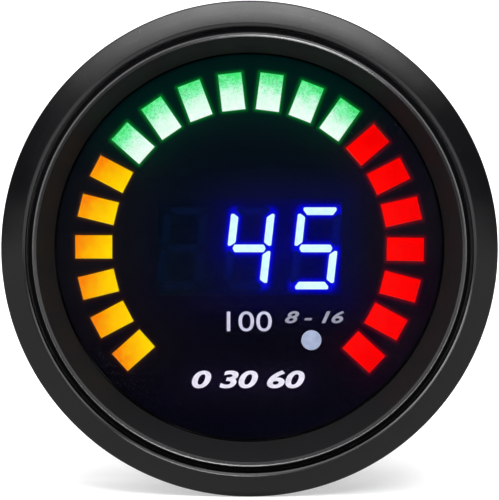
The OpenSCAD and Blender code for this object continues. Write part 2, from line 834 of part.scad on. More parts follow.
module power_board() {
    color([0.05, 0.3, 0.12]) on_axis() slab(power_back_z, power_z) difference() {
        circle(power_board_r);
        at_posts() circle(d = spacer_thread_d + 2 * hole_fit);
        translate([0, socket_y]) at_contacts(power_pin_count) circle(d = contact_hole_d);
        translate([0, -socket_y]) at_contacts(sensor_pin_count) circle(d = contact_hole_d);
    }
}

module capacitors() {
    r = capacitor_d / 2;
    color([0.15, 0.15, 0.2]) on_axis() for (x = [-1, 1])
        translate([x * capacitor_x, 0, power_z]) rotate_extrude()
            polygon(concat([[0, 0], [r, 0]],
                arc([r - capacitor_round, capacitor_h - capacitor_round], capacitor_round, 0, 90),
                [[0, capacitor_h]]));
}

module power_inductor() {
    color([0.2, 0.2, 0.2]) on_axis() translate([0, inductor_y]) slab(power_z, power_z + inductor_h)
        round_rect(inductor_w, inductor_w, inductor_round);
}

module voltage_regulator() {
    color([0.1, 0.1, 0.11]) on_axis() {
        slab(power_back_z - regulator_h, power_back_z) square([regulator_w, regulator_l], center = true);
        for (x = [-1, 1]) translate([x * regulator_w / 4, -(regulator_l + leg_l) / 2])
            slab(power_back_z - leg_t, power_back_z) square([leg_w, leg_l], center = true);
    }
}

module power_socket() {
    color([0.05, 0.05, 0.05]) on_axis() translate([0, socket_y]) socket(power_socket_w, power_pin_count);
}

module power_pins() {
    color([0.8, 0.75, 0.5]) on_axis() translate([0, socket_y]) contacts(power_pin_count);
}

module sensor_socket() {
    color([0.05, 0.05, 0.05]) on_axis() translate([0, -socket_y]) rotate(180)
        socket(sensor_socket_w, sensor_pin_count);
}

module sensor_pins() {
    color([0.8, 0.75, 0.5]) on_axis() translate([0, -socket_y]) contacts(sensor_pin_count);
}

// Rear cover and studs

module rear_cover() {
    places = [[power_socket_w, socket_y], [sensor_socket_w, -socket_y]];
    hole = 2 * socket_fit;
    frame = 2 * (socket_fit + frame_w);
    color([0.06, 0.06, 0.065]) on_axis() difference() {
        union() {
            rotate_extrude() polygon([[0, cover_z], [barrel_r, cover_z],
                [barrel_r, cover_back_z + cover_chamfer], [barrel_r - cover_chamfer, cover_back_z],
                [0, cover_back_z]]);
            ring(spigot_in_r, spigot_r, cover_z, pad_z);
            slab(cover_z, pad_z) intersection() {
                circle(spigot_r);
                at_cover_screws() circle(d = boss_d);
            }
            slab(cover_back_z - stud_boss_h, cover_z) at_studs() circle(d = stud_boss_d);
            slab(cover_back_z - frame_h, cover_z) for (p = places) translate([0, p[1]])
                round_rect(p[0] + frame, socket_h + frame, socket_round + socket_fit + frame_w);
        }
        slab(pad_z + over, cover_back_z - stud_boss_h - frame_h - over) {
            at_studs() circle(d = stud_d + 2 * stud_fit);
            at_cover_screws() circle(d = cover_screw_d + 2 * hole_fit);
            for (p = places) translate([0, p[1]])
                round_rect(p[0] + hole, socket_h + hole, socket_round + socket_fit);
        }
    }
}

module cover_seal() {
    color([0.02, 0.02, 0.02]) on_axis()
        ring(bore_r + cover_seal_edge, barrel_r - barrel_chamfer - cover_seal_edge, cover_z, barrel_end_z);
}

module cover_screws() {
    color([0.25, 0.25, 0.26]) on_axis() at_cover_screws()
        screw(cover_back_z, cover_screw_d, cover_screw_l, cover_head_d, cover_head_h);
}

module studs() {
    r = stud_d / 2;
    color([0.75, 0.75, 0.76]) on_axis() at_studs() {
        slab(cover_z, cover_z + stud_head_h) circle(d = stud_head_af / cos(30), $fn = 6);
        rotate_extrude() polygon([[0, cover_z + stud_head_h], [r, cover_z + stud_head_h],
            [r, stud_end_z + stud_chamfer], [r - stud_chamfer, stud_end_z], [0, stud_end_z]]);
    }
}

// Clamp

// A filled U with round corners, seen from above, up to its top edge
module cradle(half_w, end_z, r, top_z) {
    translate([-half_w, end_z + r]) square([2 * half_w, top_z - end_z - r]);
    translate([r - half_w, end_z]) square([2 * (half_w - r), 2 * r]);
    for (x = [-1, 1]) translate([x * (half_w - r), end_z + r]) circle(r);
}

// The long round shape that presses the rib into the bracket's strip
module press_form() {
    form_r = (press_r * press_r + press_h * press_h) / (2 * press_h);
    translate([0, 0, bridge_back_z - press_h + form_r]) rotate([0, 90, 0])
        cylinder(r = form_r, h = press_l - 2 * press_r, center = true);
    for (x = [-1, 1]) translate([x * (press_l / 2 - press_r), 0, bridge_back_z - press_h + form_r])
        sphere(form_r);
}

// Cuts that leave two rounded feet on each leg
module foot_cuts() {
    long = 2 * (leg_x + strip_t + over);
    translate([0, 0, -panel_gap]) rotate([0, 90, 0]) cylinder(d = foot_notch, h = long, center = true);
    for (turn = [0, 180]) rotate(turn)
        translate([-long / 2, strip_w / 2 - foot_round, -panel_gap - foot_round]) rotate([90, 0, 90])
            linear_extrude(long) difference() {
                square(foot_round + over);
                circle(foot_round);
            }
}

module clamp_bracket() {
    color([0.6, 0.6, 0.62]) on_axis() difference() {
        union() {
            rotate([90, 0, 0]) linear_extrude(strip_w, center = true) difference() {
                cradle(leg_x + strip_t, bridge_back_z, bend_r + strip_t, -panel_gap);
                cradle(leg_x, bridge_z, bend_r, over - panel_gap);
            }
            intersection() {
                press_form();
                slab(bridge_back_z - press_h - over, bridge_back_z + strip_t / 2)
                    square([press_l + 2 * over, strip_w], center = true);
            }
        }
        translate([0, 0, strip_t]) press_form();
        slab(bridge_back_z - over, bridge_z + over) at_studs() circle(d = stud_d + 2 * bracket_fit);
        foot_cuts();
    }
}

module flat_washers() {
    color([0.75, 0.75, 0.76]) on_axis() at_studs()
        ring(stud_d / 2 + washer_fit, washer_d / 2, nut_z, bridge_back_z);
}

// A thumb nut with a knurled head and a plain collar
module thumb_nut() {
    head_z = nut_z - nut_collar_h;
    r = nut_d / 2;
    core_r = r - 2 * knurl_t;
    difference() {
        union() {
            slab(head_z, nut_z) circle(d = nut_collar_d);
            slab(nut_back_z + nut_chamfer, head_z - nut_chamfer) polygon([for (i = [0:2 * knurl_count - 1])
                (r - (i % 2) * knurl_t) * [cos(i * 180 / knurl_count), sin(i * 180 / knurl_count)]]);
            rotate_extrude() polygon([[0, nut_back_z], [core_r - nut_chamfer, nut_back_z],
                [core_r, nut_back_z + nut_chamfer], [core_r, head_z - nut_chamfer],
                [core_r - nut_chamfer, head_z], [0, head_z]]);
        }
        slab(nut_back_z - over, nut_z + over) circle(d = stud_d + 2 * thread_fit);
    }
}

module thumb_nut_left() {
    color([0.78, 0.62, 0.3]) on_axis() translate([-stud_x, 0]) thumb_nut();
}

module thumb_nut_right() {
    color([0.78, 0.62, 0.3]) on_axis() translate([stud_x, 0]) thumb_nut();
}

case_barrel();
bezel_ring();
trim_ring();
lens();
lens_gasket();
dial_mask();
light_box();
amber_guides();
green_guides();
red_guides();
amber_leds();
green_leds();
red_leds();
indicator_guide();
indicator_led();
display_module();
digit_bars_lit();
digit_bars_dark();
display_pins();
main_board();
driver_chips();
controller_chip();
board_header();
board_spacers();
board_screws();
power_board();
capacitors();
power_inductor();
voltage_regulator();
power_socket();
power_pins();
sensor_socket();
sensor_pins();
rear_cover();
cover_seal();
cover_screws();
studs();
clamp_bracket();
flat_washers();
thumb_nut_left();
thumb_nut_right();
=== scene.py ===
import json
import math

import bmesh
import bpy
from mathutils import Matrix, Vector

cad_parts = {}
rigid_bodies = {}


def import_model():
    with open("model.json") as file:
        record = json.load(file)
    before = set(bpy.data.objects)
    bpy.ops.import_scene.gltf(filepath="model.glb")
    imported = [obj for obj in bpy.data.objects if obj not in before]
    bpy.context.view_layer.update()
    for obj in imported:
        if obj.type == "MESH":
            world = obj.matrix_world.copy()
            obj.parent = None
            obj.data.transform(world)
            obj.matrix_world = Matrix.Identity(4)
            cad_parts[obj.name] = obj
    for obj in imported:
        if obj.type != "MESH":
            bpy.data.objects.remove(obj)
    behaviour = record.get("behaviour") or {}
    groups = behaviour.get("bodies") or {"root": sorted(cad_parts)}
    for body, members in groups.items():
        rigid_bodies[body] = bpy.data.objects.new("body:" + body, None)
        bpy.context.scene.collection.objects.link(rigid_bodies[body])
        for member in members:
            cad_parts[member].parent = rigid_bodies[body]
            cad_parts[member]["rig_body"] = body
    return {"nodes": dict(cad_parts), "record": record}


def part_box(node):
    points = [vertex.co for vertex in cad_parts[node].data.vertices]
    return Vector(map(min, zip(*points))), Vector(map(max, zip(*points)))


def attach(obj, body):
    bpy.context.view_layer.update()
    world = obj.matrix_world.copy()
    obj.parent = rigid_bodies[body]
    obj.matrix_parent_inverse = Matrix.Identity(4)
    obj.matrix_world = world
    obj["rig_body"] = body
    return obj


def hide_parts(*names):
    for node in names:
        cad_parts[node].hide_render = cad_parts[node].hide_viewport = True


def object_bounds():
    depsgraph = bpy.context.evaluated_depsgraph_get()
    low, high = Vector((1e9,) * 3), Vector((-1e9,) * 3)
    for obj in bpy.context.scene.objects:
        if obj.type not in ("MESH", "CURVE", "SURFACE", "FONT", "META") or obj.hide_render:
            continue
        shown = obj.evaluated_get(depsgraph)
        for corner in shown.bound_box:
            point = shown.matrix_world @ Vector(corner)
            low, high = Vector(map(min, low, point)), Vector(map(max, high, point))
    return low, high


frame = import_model()
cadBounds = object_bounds()
nodes = frame["nodes"]
mm = 0.001  # sizes below are in millimetres, the dial faces -Y and depth runs back along +Y
print("frame loaded:", len(nodes), "nodes")


def tone(red, green, blue):
    # a colour as it looks on a screen, from 0 to 255, made linear
    values = [value / 255 for value in (red, green, blue)]
    lines = [v / 12.92 if v <= 0.04045 else ((v + 0.055) / 1.055) ** 2.4 for v in values]
    return (*lines, 1.0)


# Camera

view = {
    "distance": 500,
    "elevation": 3.5,
    "frameHeight": 60.47,  # what 500 pixels cover at the bezel
    "aim": (0, -1.3, -0.12),
    "sensor": 36,
}


def makeCamera():
    data = bpy.data.cameras.new("viewCamera")
    data.sensor_width = view["sensor"]
    data.lens = view["sensor"] * view["distance"] / view["frameHeight"]
    data.clip_start = 0.01
    camera = bpy.data.objects.new("viewCamera", data)
    bpy.context.scene.collection.objects.link(camera)
    aim = Vector(view["aim"]) * mm
    angle = math.radians(view["elevation"])
    camera.location = aim + Vector((0, -math.cos(angle), math.sin(angle))) * view["distance"] * mm
    camera.rotation_euler = (aim - camera.location).to_track_quat("-Z", "Y").to_euler()
    bpy.context.scene.camera = camera
    bpy.context.scene.view_settings.view_transform = "Standard"


# Node helpers

def addNode(tree, kind, inputs=None, **settings):
    made = tree.nodes.new(kind)
    for name, value in settings.items():
        setattr(made, name, value)
    for name, value in (inputs or {}).items():
        if isinstance(value, bpy.types.NodeSocket):
            tree.links.new(value, made.inputs[name])
        else:
            made.inputs[name].default_value = value
    return made


def calc(tree, operation, *values, clamp=False):
    inputs = dict(enumerate(values))
    return addNode(tree, "ShaderNodeMath", inputs, operation=operation, use_clamp=clamp).outputs[0]


def times(tree, first, second, clamp=False):
    return calc(tree, "MULTIPLY", first, second, clamp=clamp)


def plus(tree, first, second, clamp=False):
    return calc(tree, "ADD", first, second, clamp=clamp)


def minus(tree, first, second):
    return calc(tree, "SUBTRACT", first, second)


def mixColor(tree, share, first, second, blend="MIX"):
    inputs = {0: share, 6: first, 7: second}
    return addNode(tree, "ShaderNodeMix", inputs, data_type="RGBA", blend_type=blend).outputs[2]


def spread(tree, value, low, high, toLow, toHigh):
    inputs = {"Value": value, "From Min": low, "From Max": high, "To Min": toLow, "To Max": toHigh}
    return addNode(tree, "ShaderNodeMapRange", inputs).outputs["Result"]


def ramp(tree, value, stops):
    made = addNode(tree, "ShaderNodeValToRGB", {0: value})
    elements = made.color_ramp.elements
    elements[0].position, elements[0].color = stops[0]
    elements[1].position, elements[1].color = stops[-1]
    for place, color in stops[1:-1]:
        elements.new(place).color = color
    return made.outputs[0]


def noise(tree, vector, scale, detail):
    inputs = {"Vector": vector, "Scale": scale, "Detail": detail}
    return addNode(tree, "ShaderNodeTexNoise", inputs).outputs[0]


def vectorCalc(tree, operation, inputs, output=0):
    return addNode(tree, "ShaderNodeVectorMath", inputs, operation=operation).outputs[output]


def splitVector(tree, vector):
    return addNode(tree, "ShaderNodeSeparateXYZ", {0: vector}).outputs


def rootSum(tree, first, second):
    # how long the slanting side is over these two
    return calc(tree, "SQRT", plus(tree, times(tree, first, first), times(tree, second, second)))


def past(tree, value, edge):
    # how far a value lies beyond plus or minus an edge
    return calc(tree, "MAXIMUM", minus(tree, calc(tree, "ABSOLUTE", value), edge), 0.0)


def objectPlace(tree):
    return addNode(tree, "ShaderNodeTexCoord").outputs["Object"]


def newMaterial(name, **settings):
    material = bpy.data.materials.new(name)
    material.use_nodes = True
    tree = material.node_tree
    shader = tree.nodes["Principled BSDF"]
    for label, value in settings.items():
        shader.inputs[label.replace("_", " ")].default_value = value
    return material, tree, shader


def glowMaterial(name, roughness=0.4, level=1.0):
    return newMaterial(name, Roughness=roughness, Emission_Strength=level, Specular_IOR_Level=0.0)


def feed(shader, **sources):
    # links these outputs to the shader's inputs, whose spaces are written as underscores
    for label, value in sources.items():
        shader.id_data.links.new(value, shader.inputs[label.replace("_", " ")])


def makeGroup(name, inputs, outputs, treeKind="ShaderNodeTree"):
    group = bpy.data.node_groups.new(name, treeKind)
    for label, kind, value in inputs:
        socket = group.interface.new_socket(name=label, in_out="INPUT", socket_type=kind)
        if value is not None:
            socket.default_value = value
    for label, kind in outputs:
        group.interface.new_socket(name=label, in_out="OUTPUT", socket_type=kind)
    source = group.nodes.new("NodeGroupInput").outputs
    sink = group.nodes.new("NodeGroupOutput").inputs
    return group, source, sink


def useGroup(tree, group, inputs):
    return addNode(tree, "ShaderNodeGroup", inputs, node_tree=group).outputs


vectorKind, floatKind, colorKind = "NodeSocketVector", "NodeSocketFloat", "NodeSocketColor"
reliefOutputs = [("Height", floatKind), ("Mask", floatKind)]


def makeMouldGrain():
    # spark-eroded mould texture: small dimples of two sizes
    group, source, sink = makeGroup(
        "mouldGrain",
        [("Vector", vectorKind, None), ("Scale", floatKind, 3000.0)],
        reliefOutputs)
    coarse = noise(group, source["Vector"], source["Scale"], 1.0)
    fine = noise(group, source["Vector"], times(group, source["Scale"], 2.7), 2.0)
    height = plus(group, times(group, coarse, 0.65), times(group, fine, 0.35))
    group.links.new(height, sink["Height"])
    group.links.new(spread(group, coarse, 0.35, 0.65, 0.0, 1.0), sink["Mask"])
    return group


def makeToneDrift():
    # slow changes of a colour and of its gloss over the surface
    group, source, sink = makeGroup(
        "toneDrift",
        [("Vector", vectorKind, None), ("Color", colorKind, (0.5, 0.5, 0.5, 1.0)),
         ("Scale", floatKind, 120.0), ("Amount", floatKind, 0.2), ("Roughness", floatKind, 0.4)],
        [("Color", colorKind), ("Roughness", floatKind)])
    cloud = noise(group, source["Vector"], source["Scale"], 4.0)
    swing = times(group, spread(group, cloud, 0.3, 0.7, -1.0, 1.0), source["Amount"])
    factor = plus(group, swing, 1.0)
    scaled = vectorCalc(group, "SCALE", {0: source["Color"], "Scale": factor})
    group.links.new(scaled, sink["Color"])
    group.links.new(times(group, source["Roughness"], factor), sink["Roughness"])
    return group


def makeDustFall():
    # specks and a thin film that settle on what faces up
    group, source, sink = makeGroup(
        "dustFall",
        [("Vector", vectorKind, None), ("Amount", floatKind, 0.3)],
        [("Mask", floatKind)])
    normal = addNode(group, "ShaderNodeNewGeometry").outputs["Normal"]
    upward = spread(group, splitVector(group, normal)[2], 0.2, 1.0, 0.15, 1.0)
    specks = spread(group, noise(group, source["Vector"], 2600.0, 1.0), 0.66, 0.74, 0.0, 1.0)
    film = times(group, noise(group, source["Vector"], 240.0, 5.0), 0.25)
    both = plus(group, specks, film)
    share = times(group, times(group, both, upward), source["Amount"], clamp=True)
    group.links.new(share, sink["Mask"])
    return group


def makeMachining():
    # fine marks that run round an axis along Y at the given centre
    group, source, sink = makeGroup(
        "machining",
        [("Vector", vectorKind, None), ("Centre", vectorKind, None), ("Scale", floatKind, 9000.0)],
        reliefOutputs)
    parts = splitVector(group, vectorCalc(group, "SUBTRACT", {0: source["Vector"], 1: source["Centre"]}))
    radius = rootSum(group, parts[0], parts[2])
    marks = addNode(group, "ShaderNodeCombineXYZ", {0: radius, 1: parts[1]}).outputs[0]
    lines = noise(group, marks, source["Scale"], 3.0)
    group.links.new(lines, sink["Height"])
    group.links.new(spread(group, lines, 0.3, 0.7, 0.0, 1.0), sink["Mask"])
    return group


def makeBrushed():
    # long scratches across the given direction's stretch
    group, source, sink = makeGroup(
        "brushed",
        [("Vector", vectorKind, None), ("Stretch", vectorKind, (300.0, 6000.0, 6000.0))],
        reliefOutputs)
    stretched = vectorCalc(group, "MULTIPLY", {0: source["Vector"], 1: source["Stretch"]})
    lines = noise(group, stretched, 1.0, 4.0)
    group.links.new(lines, sink["Height"])
    group.links.new(spread(group, lines, 0.35, 0.65, 0.0, 1.0), sink["Mask"])
    return group


mouldGrain = makeMouldGrain()
toneDrift = makeToneDrift()
dustFall = makeDustFall()
machining = makeMachining()
brushed = makeBrushed()


# Finishes

def bump(tree, shader, height, strength, distance):
    inputs = {"Height": height, "Strength": strength, "Distance": distance * mm}
    feed(shader, Normal=addNode(tree, "ShaderNodeBump", inputs).outputs[0])


def mouldedFinish(name, color, roughness, grain, depth, dust, drift=0.12, **settings):
    # plastic or rubber: mould texture, slow changes of tone, a little dust
    material, tree, shader = newMaterial(name, **settings)
    place = objectPlace(tree)
    drifted = useGroup(tree, toneDrift, {"Vector": place, "Color": color, "Amount": drift,
                                         "Roughness": roughness})
    fallen = useGroup(tree, dustFall, {"Vector": place, "Amount": dust})["Mask"]
    grained = useGroup(tree, mouldGrain, {"Vector": place, "Scale": grain})
    shade = mixColor(tree, times(tree, grained["Mask"], 0.12), drifted["Color"], (0, 0, 0, 1))
    rough = plus(tree, drifted["Roughness"], times(tree, fallen, 0.4), clamp=True)
    feed(shader, Base_Color=mixColor(tree, fallen, shade, tone(150, 146, 140)), Roughness=rough)
    bump(tree, shader, grained["Height"], 0.6, depth)
    return material


def metalFinish(name, color, roughness, marks, strength, stain):
    # metal: tool marks, slow changes of tone, stained patches; marks puts out Height and Mask
    material, tree, shader = newMaterial(name, Metallic=1.0)
    place = objectPlace(tree)
    drifted = useGroup(tree, toneDrift, {"Vector": place, "Color": color, "Scale": 260.0,
                                         "Amount": 0.08, "Roughness": roughness})
    lines = marks(tree, place)
    patches = spread(tree, noise(tree, place, 420.0, 5.0), 0.52, 0.75, 0.0, 0.25)
    rough = plus(tree, drifted["Roughness"], times(tree, lines["Mask"], 0.12), clamp=True)
    rough = plus(tree, rough, times(tree, patches, 0.3), clamp=True)
    feed(shader, Base_Color=mixColor(tree, patches, drifted["Color"], stain), Roughness=rough)
    bump(tree, shader, lines["Height"], strength, 0.02)
    return material


def turnedAt(x):
    centre = (x * mm, 0.0, 0.0)
    return lambda tree, place: useGroup(tree, machining, {"Vector": place, "Centre": centre})


def brushedAlong(x, y, z):
    return lambda tree, place: useGroup(tree, brushed, {"Vector": place, "Stretch": (x, y, z)})


def polarPlace(tree):
    # the place across and up, and the distance from the dial's axis, in millimetres
    parts = splitVector(tree, objectPlace(tree))
    x, z = calc(tree, "DIVIDE", parts[0], mm), calc(tree, "DIVIDE", parts[2], mm)
    return x, z, rootSum(tree, x, z)


bezelLook = {
    "color": tone(3, 3, 4),
    "roughness": 0.17,
    "dust": tone(120, 118, 114),
    "lipEdge": (27.33, 27.38),  # inside this the lip is glossier than the slope
    "shine": (1.0, 0.5),
}


def glossFinish():
    # polished black with a faint waviness and a few hairline marks
    material, tree, shader = newMaterial("glossBlack", IOR=1.22)
    place = objectPlace(tree)
    drifted = useGroup(tree, toneDrift, {"Vector": place, "Color": bezelLook["color"], "Amount": 0.2,
                                         "Roughness": bezelLook["roughness"]})
    fallen = useGroup(tree, dustFall, {"Vector": place, "Amount": 0.05})["Mask"]
    x, z, radius = polarPlace(tree)
    rings = useGroup(tree, machining, {"Vector": place, "Centre": (0, 0, 0), "Scale": 5200.0})["Mask"]
    feed(shader, Base_Color=mixColor(tree, fallen, drifted["Color"], bezelLook["dust"]),
         Specular_IOR_Level=spread(tree, radius, *bezelLook["lipEdge"], *bezelLook["shine"]),
         Roughness=plus(tree, drifted["Roughness"], times(tree, rings, 0.04)))
    bump(tree, shader, noise(tree, place, 340.0, 1.0), 0.15, 0.02)
    return material


trimLook = {
    "funnel": tone(12, 12, 13),
    "rim": tone(5, 5, 6),
    "rimFrom": (25.64, 25.68),
    "roughness": (0.6, 0.22),  # of the funnel and of the rim
    "across": (25.6, 26.7),
    "shine": [  # share of the way across the rim, and how glossy it is worn there
        (0, 0.06), (0.04, 0.06), (0.08, 0.34), (0.31, 0.34), (0.36, 0.85), (0.47, 0.85), (0.52, 0.02),
        (0.78, 0.02), (0.82, 0.35), (1, 0.35)],
}


def trimFinish():
    # satin black, worn bright on the rounded rim
    material, tree, shader = newMaterial("matteBlack")
    place = objectPlace(tree)
    x, z, radius = polarPlace(tree)
    rim = spread(tree, radius, *trimLook["rimFrom"], 0.0, 1.0)
    across = spread(tree, radius, *trimLook["across"], 0.0, 1.0)
    shine = ramp(tree, across, [(at, (level, level, level, 1)) for at, level in trimLook["shine"]])
    color = useGroup(tree, toneDrift, {"Vector": place, "Color": trimLook["funnel"], "Amount": 0.05})["Color"]
    grained = useGroup(tree, mouldGrain, {"Vector": place, "Scale": 5200.0})
    shade = mixColor(tree, times(tree, grained["Mask"], 0.1), color, (0, 0, 0, 1))
    feed(shader, Base_Color=mixColor(tree, rim, shade, trimLook["rim"]), Specular_IOR_Level=shine,
         Roughness=spread(tree, rim, 0.0, 1.0, *trimLook["roughness"]))
    bump(tree, shader, grained["Height"], 0.4, 0.01)
    return material


def lensFinish():
    material, tree, shader = newMaterial("smokedLens", IOR=1.04, Transmission_Weight=1.0)
    place = objectPlace(tree)
    smears = noise(tree, place, 90.0, 3.0)
    feed(shader, Roughness=spread(tree, smears, 0.4, 0.8, 0.01, 0.03),
         Base_Color=mixColor(tree, smears, (0.97, 0.97, 0.98, 1), (0.99, 0.99, 1, 1)))
    return material


def falloff(tree, distance, width):
    # 1 at no distance, and less further off, in the shape of a bell
    ratio = calc(tree, "DIVIDE", distance, width)
    return calc(tree, "EXPONENT", times(tree, times(tree, ratio, ratio), -1.0))


segments = {
    "inR": 16.75,
    "outR": 21.27,
    "halfW": 1.47,
    "first": -42.68,
    "step": 13.9195,
    "count": 20,
    "changes": (7, 14),  # the first green and the first amber one
    "amber": [(0.0, tone(255, 216, 0)), (0.5, tone(255, 190, 0)), (1.0, tone(255, 138, 6))],
    "green": [(0.0, tone(240, 255, 247)), (0.45, tone(216, 255, 232)), (0.72, tone(140, 249, 182)),
              (1.0, tone(66, 236, 120))],
    "red": [(0.0, tone(255, 4, 2)), (0.5, tone(255, 0, 0)), (1.0, tone(244, 0, 0))],
}


def nearSegment(tree, x, z, radius):
    # apart: how far the nearest segment's edge is; number: which segment that is from the lower
    # right, as a share of all; flow: the same without steps; across: the place across the segment
    angle = times(tree, calc(tree, "ARCTAN2", z, x), 180 / math.pi)
    turned = plus(tree, angle, times(tree, calc(tree, "LESS_THAN", angle, -90.0), 360.0))
    share = calc(tree, "DIVIDE", minus(tree, turned, segments["first"]), segments["step"])
    last = segments["count"] - 1.0
    number = calc(tree, "MINIMUM", calc(tree, "MAXIMUM", calc(tree, "ROUND", share), 0.0), last)
    off = times(tree, minus(tree, share, number), math.radians(segments["step"]))
    middle = (segments["inR"] + segments["outR"]) / 2
    along = minus(tree, times(tree, radius, calc(tree, "COSINE", off)), middle)
    across = times(tree, radius, calc(tree, "SINE", off))
    halfL = (segments["outR"] - segments["inR"]) / 2
    return {"apart": rootSum(tree, past(tree, along, halfL), past(tree, across, segments["halfW"])),
            "number": calc(tree, "DIVIDE", number, last), "flow": calc(tree, "DIVIDE", share, last),
            "across": calc(tree, "DIVIDE", across, segments["halfW"])}


# painted glow on the mask film: emission that stands in for light from the segments, the display window and
# the lowest numbers, with a faint colour that changes from bottom to top
paintedMaskGlow = {
    "rimWidth": 0.27,
    "wideWidth": 2.3,
    "rim": {"red": tone(90, 0, 2), "green": tone(0, 100, 16), "amber": tone(44, 18, 0)},
    "wide": {"red": tone(12, 0, 4), "green": tone(0, 22, 9), "amber": tone(6, 3, 1)},
    "blend": {"rim": 0.01, "wide": 0.04},
    "window": (11.25, 5.9),
    "windowWidth": 2.6,
    "windowLevel": 0.026,
    "windowFade": (-9.0, 1.0, 0.08, 1.0),  # from left to right
    "windowColor": (0.01, 0.01, 1, 1),
    "rangeAt": (6.2, -16.21),  # half the width and the height of the lowest numbers
    "rangeWidth": 1.7,
    "rangeLevel": 0.010,
    "rangeColor": (0.4, 0.2, 1, 1),
    "paintedGlowFade": (-6.0, 14.0),
    "paintedGlowLow": tone(0, 0, 8),
    "paintedGlowHigh": tone(0, 8, 15),
    "edge": (23.35, 23.5),
}


def paintedSegmentGlow(tree, near, number, which):
    # painted glow: the light that the nearest segment would throw on the mask, given as emission in its own
    # colour
    red, green, amber = paintedMaskGlow[which].values()
    first, second = [(count - 0.5) / (segments["count"] - 1) for count in segments["changes"]]
    blend = paintedMaskGlow["blend"][which]
    color = ramp(tree, number, [(0.0, red), (first - blend, red), (first + blend, green),
                                (second - blend, green), (second + blend, amber), (1.0, amber)])
    return mixColor(tree, falloff(tree, near["apart"], paintedMaskGlow[which + "Width"]), (0, 0, 0, 1), color)


def maskFinish():
    # black film with painted glow: its emission stands in for the light that it would catch from the
    # segments, the display and the numbers
    material, tree, shader = glowMaterial("maskFilmPaintedGlow", 0.6)
    x, z, radius = polarPlace(tree)
    dark = (0, 0, 0, 1)
    near = nearSegment(tree, x, z, radius)
    halfW, halfH = paintedMaskGlow["window"]
    away = rootSum(tree, past(tree, x, halfW), past(tree, z, halfH))
    lit = times(tree, spread(tree, x, *paintedMaskGlow["windowFade"]), paintedMaskGlow["windowLevel"])
    nearWindow = times(tree, falloff(tree, away, paintedMaskGlow["windowWidth"]), lit)
    rangeW, rangeZ = paintedMaskGlow["rangeAt"]
    off = rootSum(tree, past(tree, x, rangeW), minus(tree, z, rangeZ))
    nearRange = times(tree, falloff(tree, off, paintedMaskGlow["rangeWidth"]), paintedMaskGlow["rangeLevel"])
    # painted glow whose colour changes from bottom to top
    height = spread(tree, z, *paintedMaskGlow["paintedGlowFade"], 0.0, 1.0)
    light = paintedSegmentGlow(tree, near, near["number"], "rim")
    for more in (paintedSegmentGlow(tree, near, near["flow"], "wide"),
                 mixColor(tree, nearWindow, dark, paintedMaskGlow["windowColor"]),
                 mixColor(tree, nearRange, dark, paintedMaskGlow["rangeColor"]),
                 mixColor(tree, height, paintedMaskGlow["paintedGlowLow"], paintedMaskGlow["paintedGlowHigh"])):
        light = mixColor(tree, 1.0, light, more, "ADD")
    # the painted glow fades out just inside the dial's edge, which stays black
    inside = spread(tree, radius, *paintedMaskGlow["edge"], 1.0, 0.0)
    grain = useGroup(tree, mouldGrain, {"Vector": objectPlace(tree), "Scale": 5200.0})
    feed(shader, Emission_Color=mixColor(tree, inside, dark, light),
         Base_Color=mixColor(tree, grain["Mask"], tone(1, 1, 1), tone(2, 2, 3)))
    return material


def guideFinish(name, stops, grain, speckle, lean=0.0):
    # light guide, brighter near its light source and grainy at its far end
    material, tree, shader = glowMaterial(name)
    x, z, radius = polarPlace(tree)
    place = objectPlace(tree)
    across = nearSegment(tree, x, z, radius)["across"]
    cloud = spread(tree, noise(tree, place, 1100.0, 3.0), 0.3, 0.7, -0.13, 0.13)
    along = spread(tree, radius, segments["inR"], segments["outR"], 0.0, 1.0)
    along = minus(tree, along, times(tree, across, lean))
    color = ramp(tree, plus(tree, along, cloud), stops)
    grains = spread(tree, noise(tree, place, 6400.0, 2.0), 0.5, 0.62, 0.0, speckle)
    far = spread(tree, along, 0.25, 1.0, 0.15, 1.0)
    feed(shader, Emission_Color=mixColor(tree, times(tree, grains, far), color, grain),
         Base_Color=mixColor(tree, 0.985, color, (0, 0, 0, 1)))
    return material


def glowFinish(name, core, rim, level=1.0):
    # a lit piece with a slightly uneven face
    material, tree, shader = glowMaterial(name, level=level)
    place = objectPlace(tree)
    cloud = spread(tree, noise(tree, place, 1400.0, 2.0), 0.35, 0.75, 0.0, 1.0)
    feed(shader, Emission_Color=mixColor(tree, cloud, core, rim),
         Base_Color=mixColor(tree, cloud, tone(6, 6, 8), tone(2, 2, 4)))
    return material


def faceFinish(name, paintedLift):
    # display face with painted glow: an attribute holds the painted light round the lit bars, which is given
    # as emission
    material, tree, shader = glowMaterial(name, 0.5)
    paintedGlow = addNode(tree, "ShaderNodeAttribute", attribute_name="paintedGlow").outputs["Fac"]
    color = ramp(tree, paintedGlow, [
        (0.0, tone(0, 5, 18)), (0.05, tone(0, 2, 66)), (0.14, tone(0, 0, 106)), (0.36, tone(0, 0, 158)),
        (0.7, tone(0, 1, 210)), (1.0, tone(2, 6, 240))])
    grain = useGroup(tree, mouldGrain, {"Vector": objectPlace(tree), "Scale": 4000.0})
    feed(shader, Emission_Color=mixColor(tree, 1.0, color, paintedLift, "ADD"),
         Base_Color=mixColor(tree, grain["Mask"], tone(0, 0, 1), tone(1, 1, 3)))
    return material


def boardFinish():
    # green board with copper runs under the lacquer
    material, tree, shader = newMaterial("board", Roughness=0.32)
    place = objectPlace(tree)
    cells = addNode(tree, "ShaderNodeTexVoronoi", {"Vector": place, "Scale": 420.0},
                    feature="DISTANCE_TO_EDGE", distance="EUCLIDEAN").outputs["Distance"]
    runs = spread(tree, cells, 0.04, 0.07, 1.0, 0.0)
    feed(shader, Base_Color=mixColor(tree, runs, tone(10, 74, 38), tone(40, 120, 66)))
    bump(tree, shader, runs, 0.4, 0.03)
    return material


def brassFinish(name, x):
    return metalFinish(name, tone(198, 157, 84), 0.24, turnedAt(x), 0.2, tone(150, 104, 50))


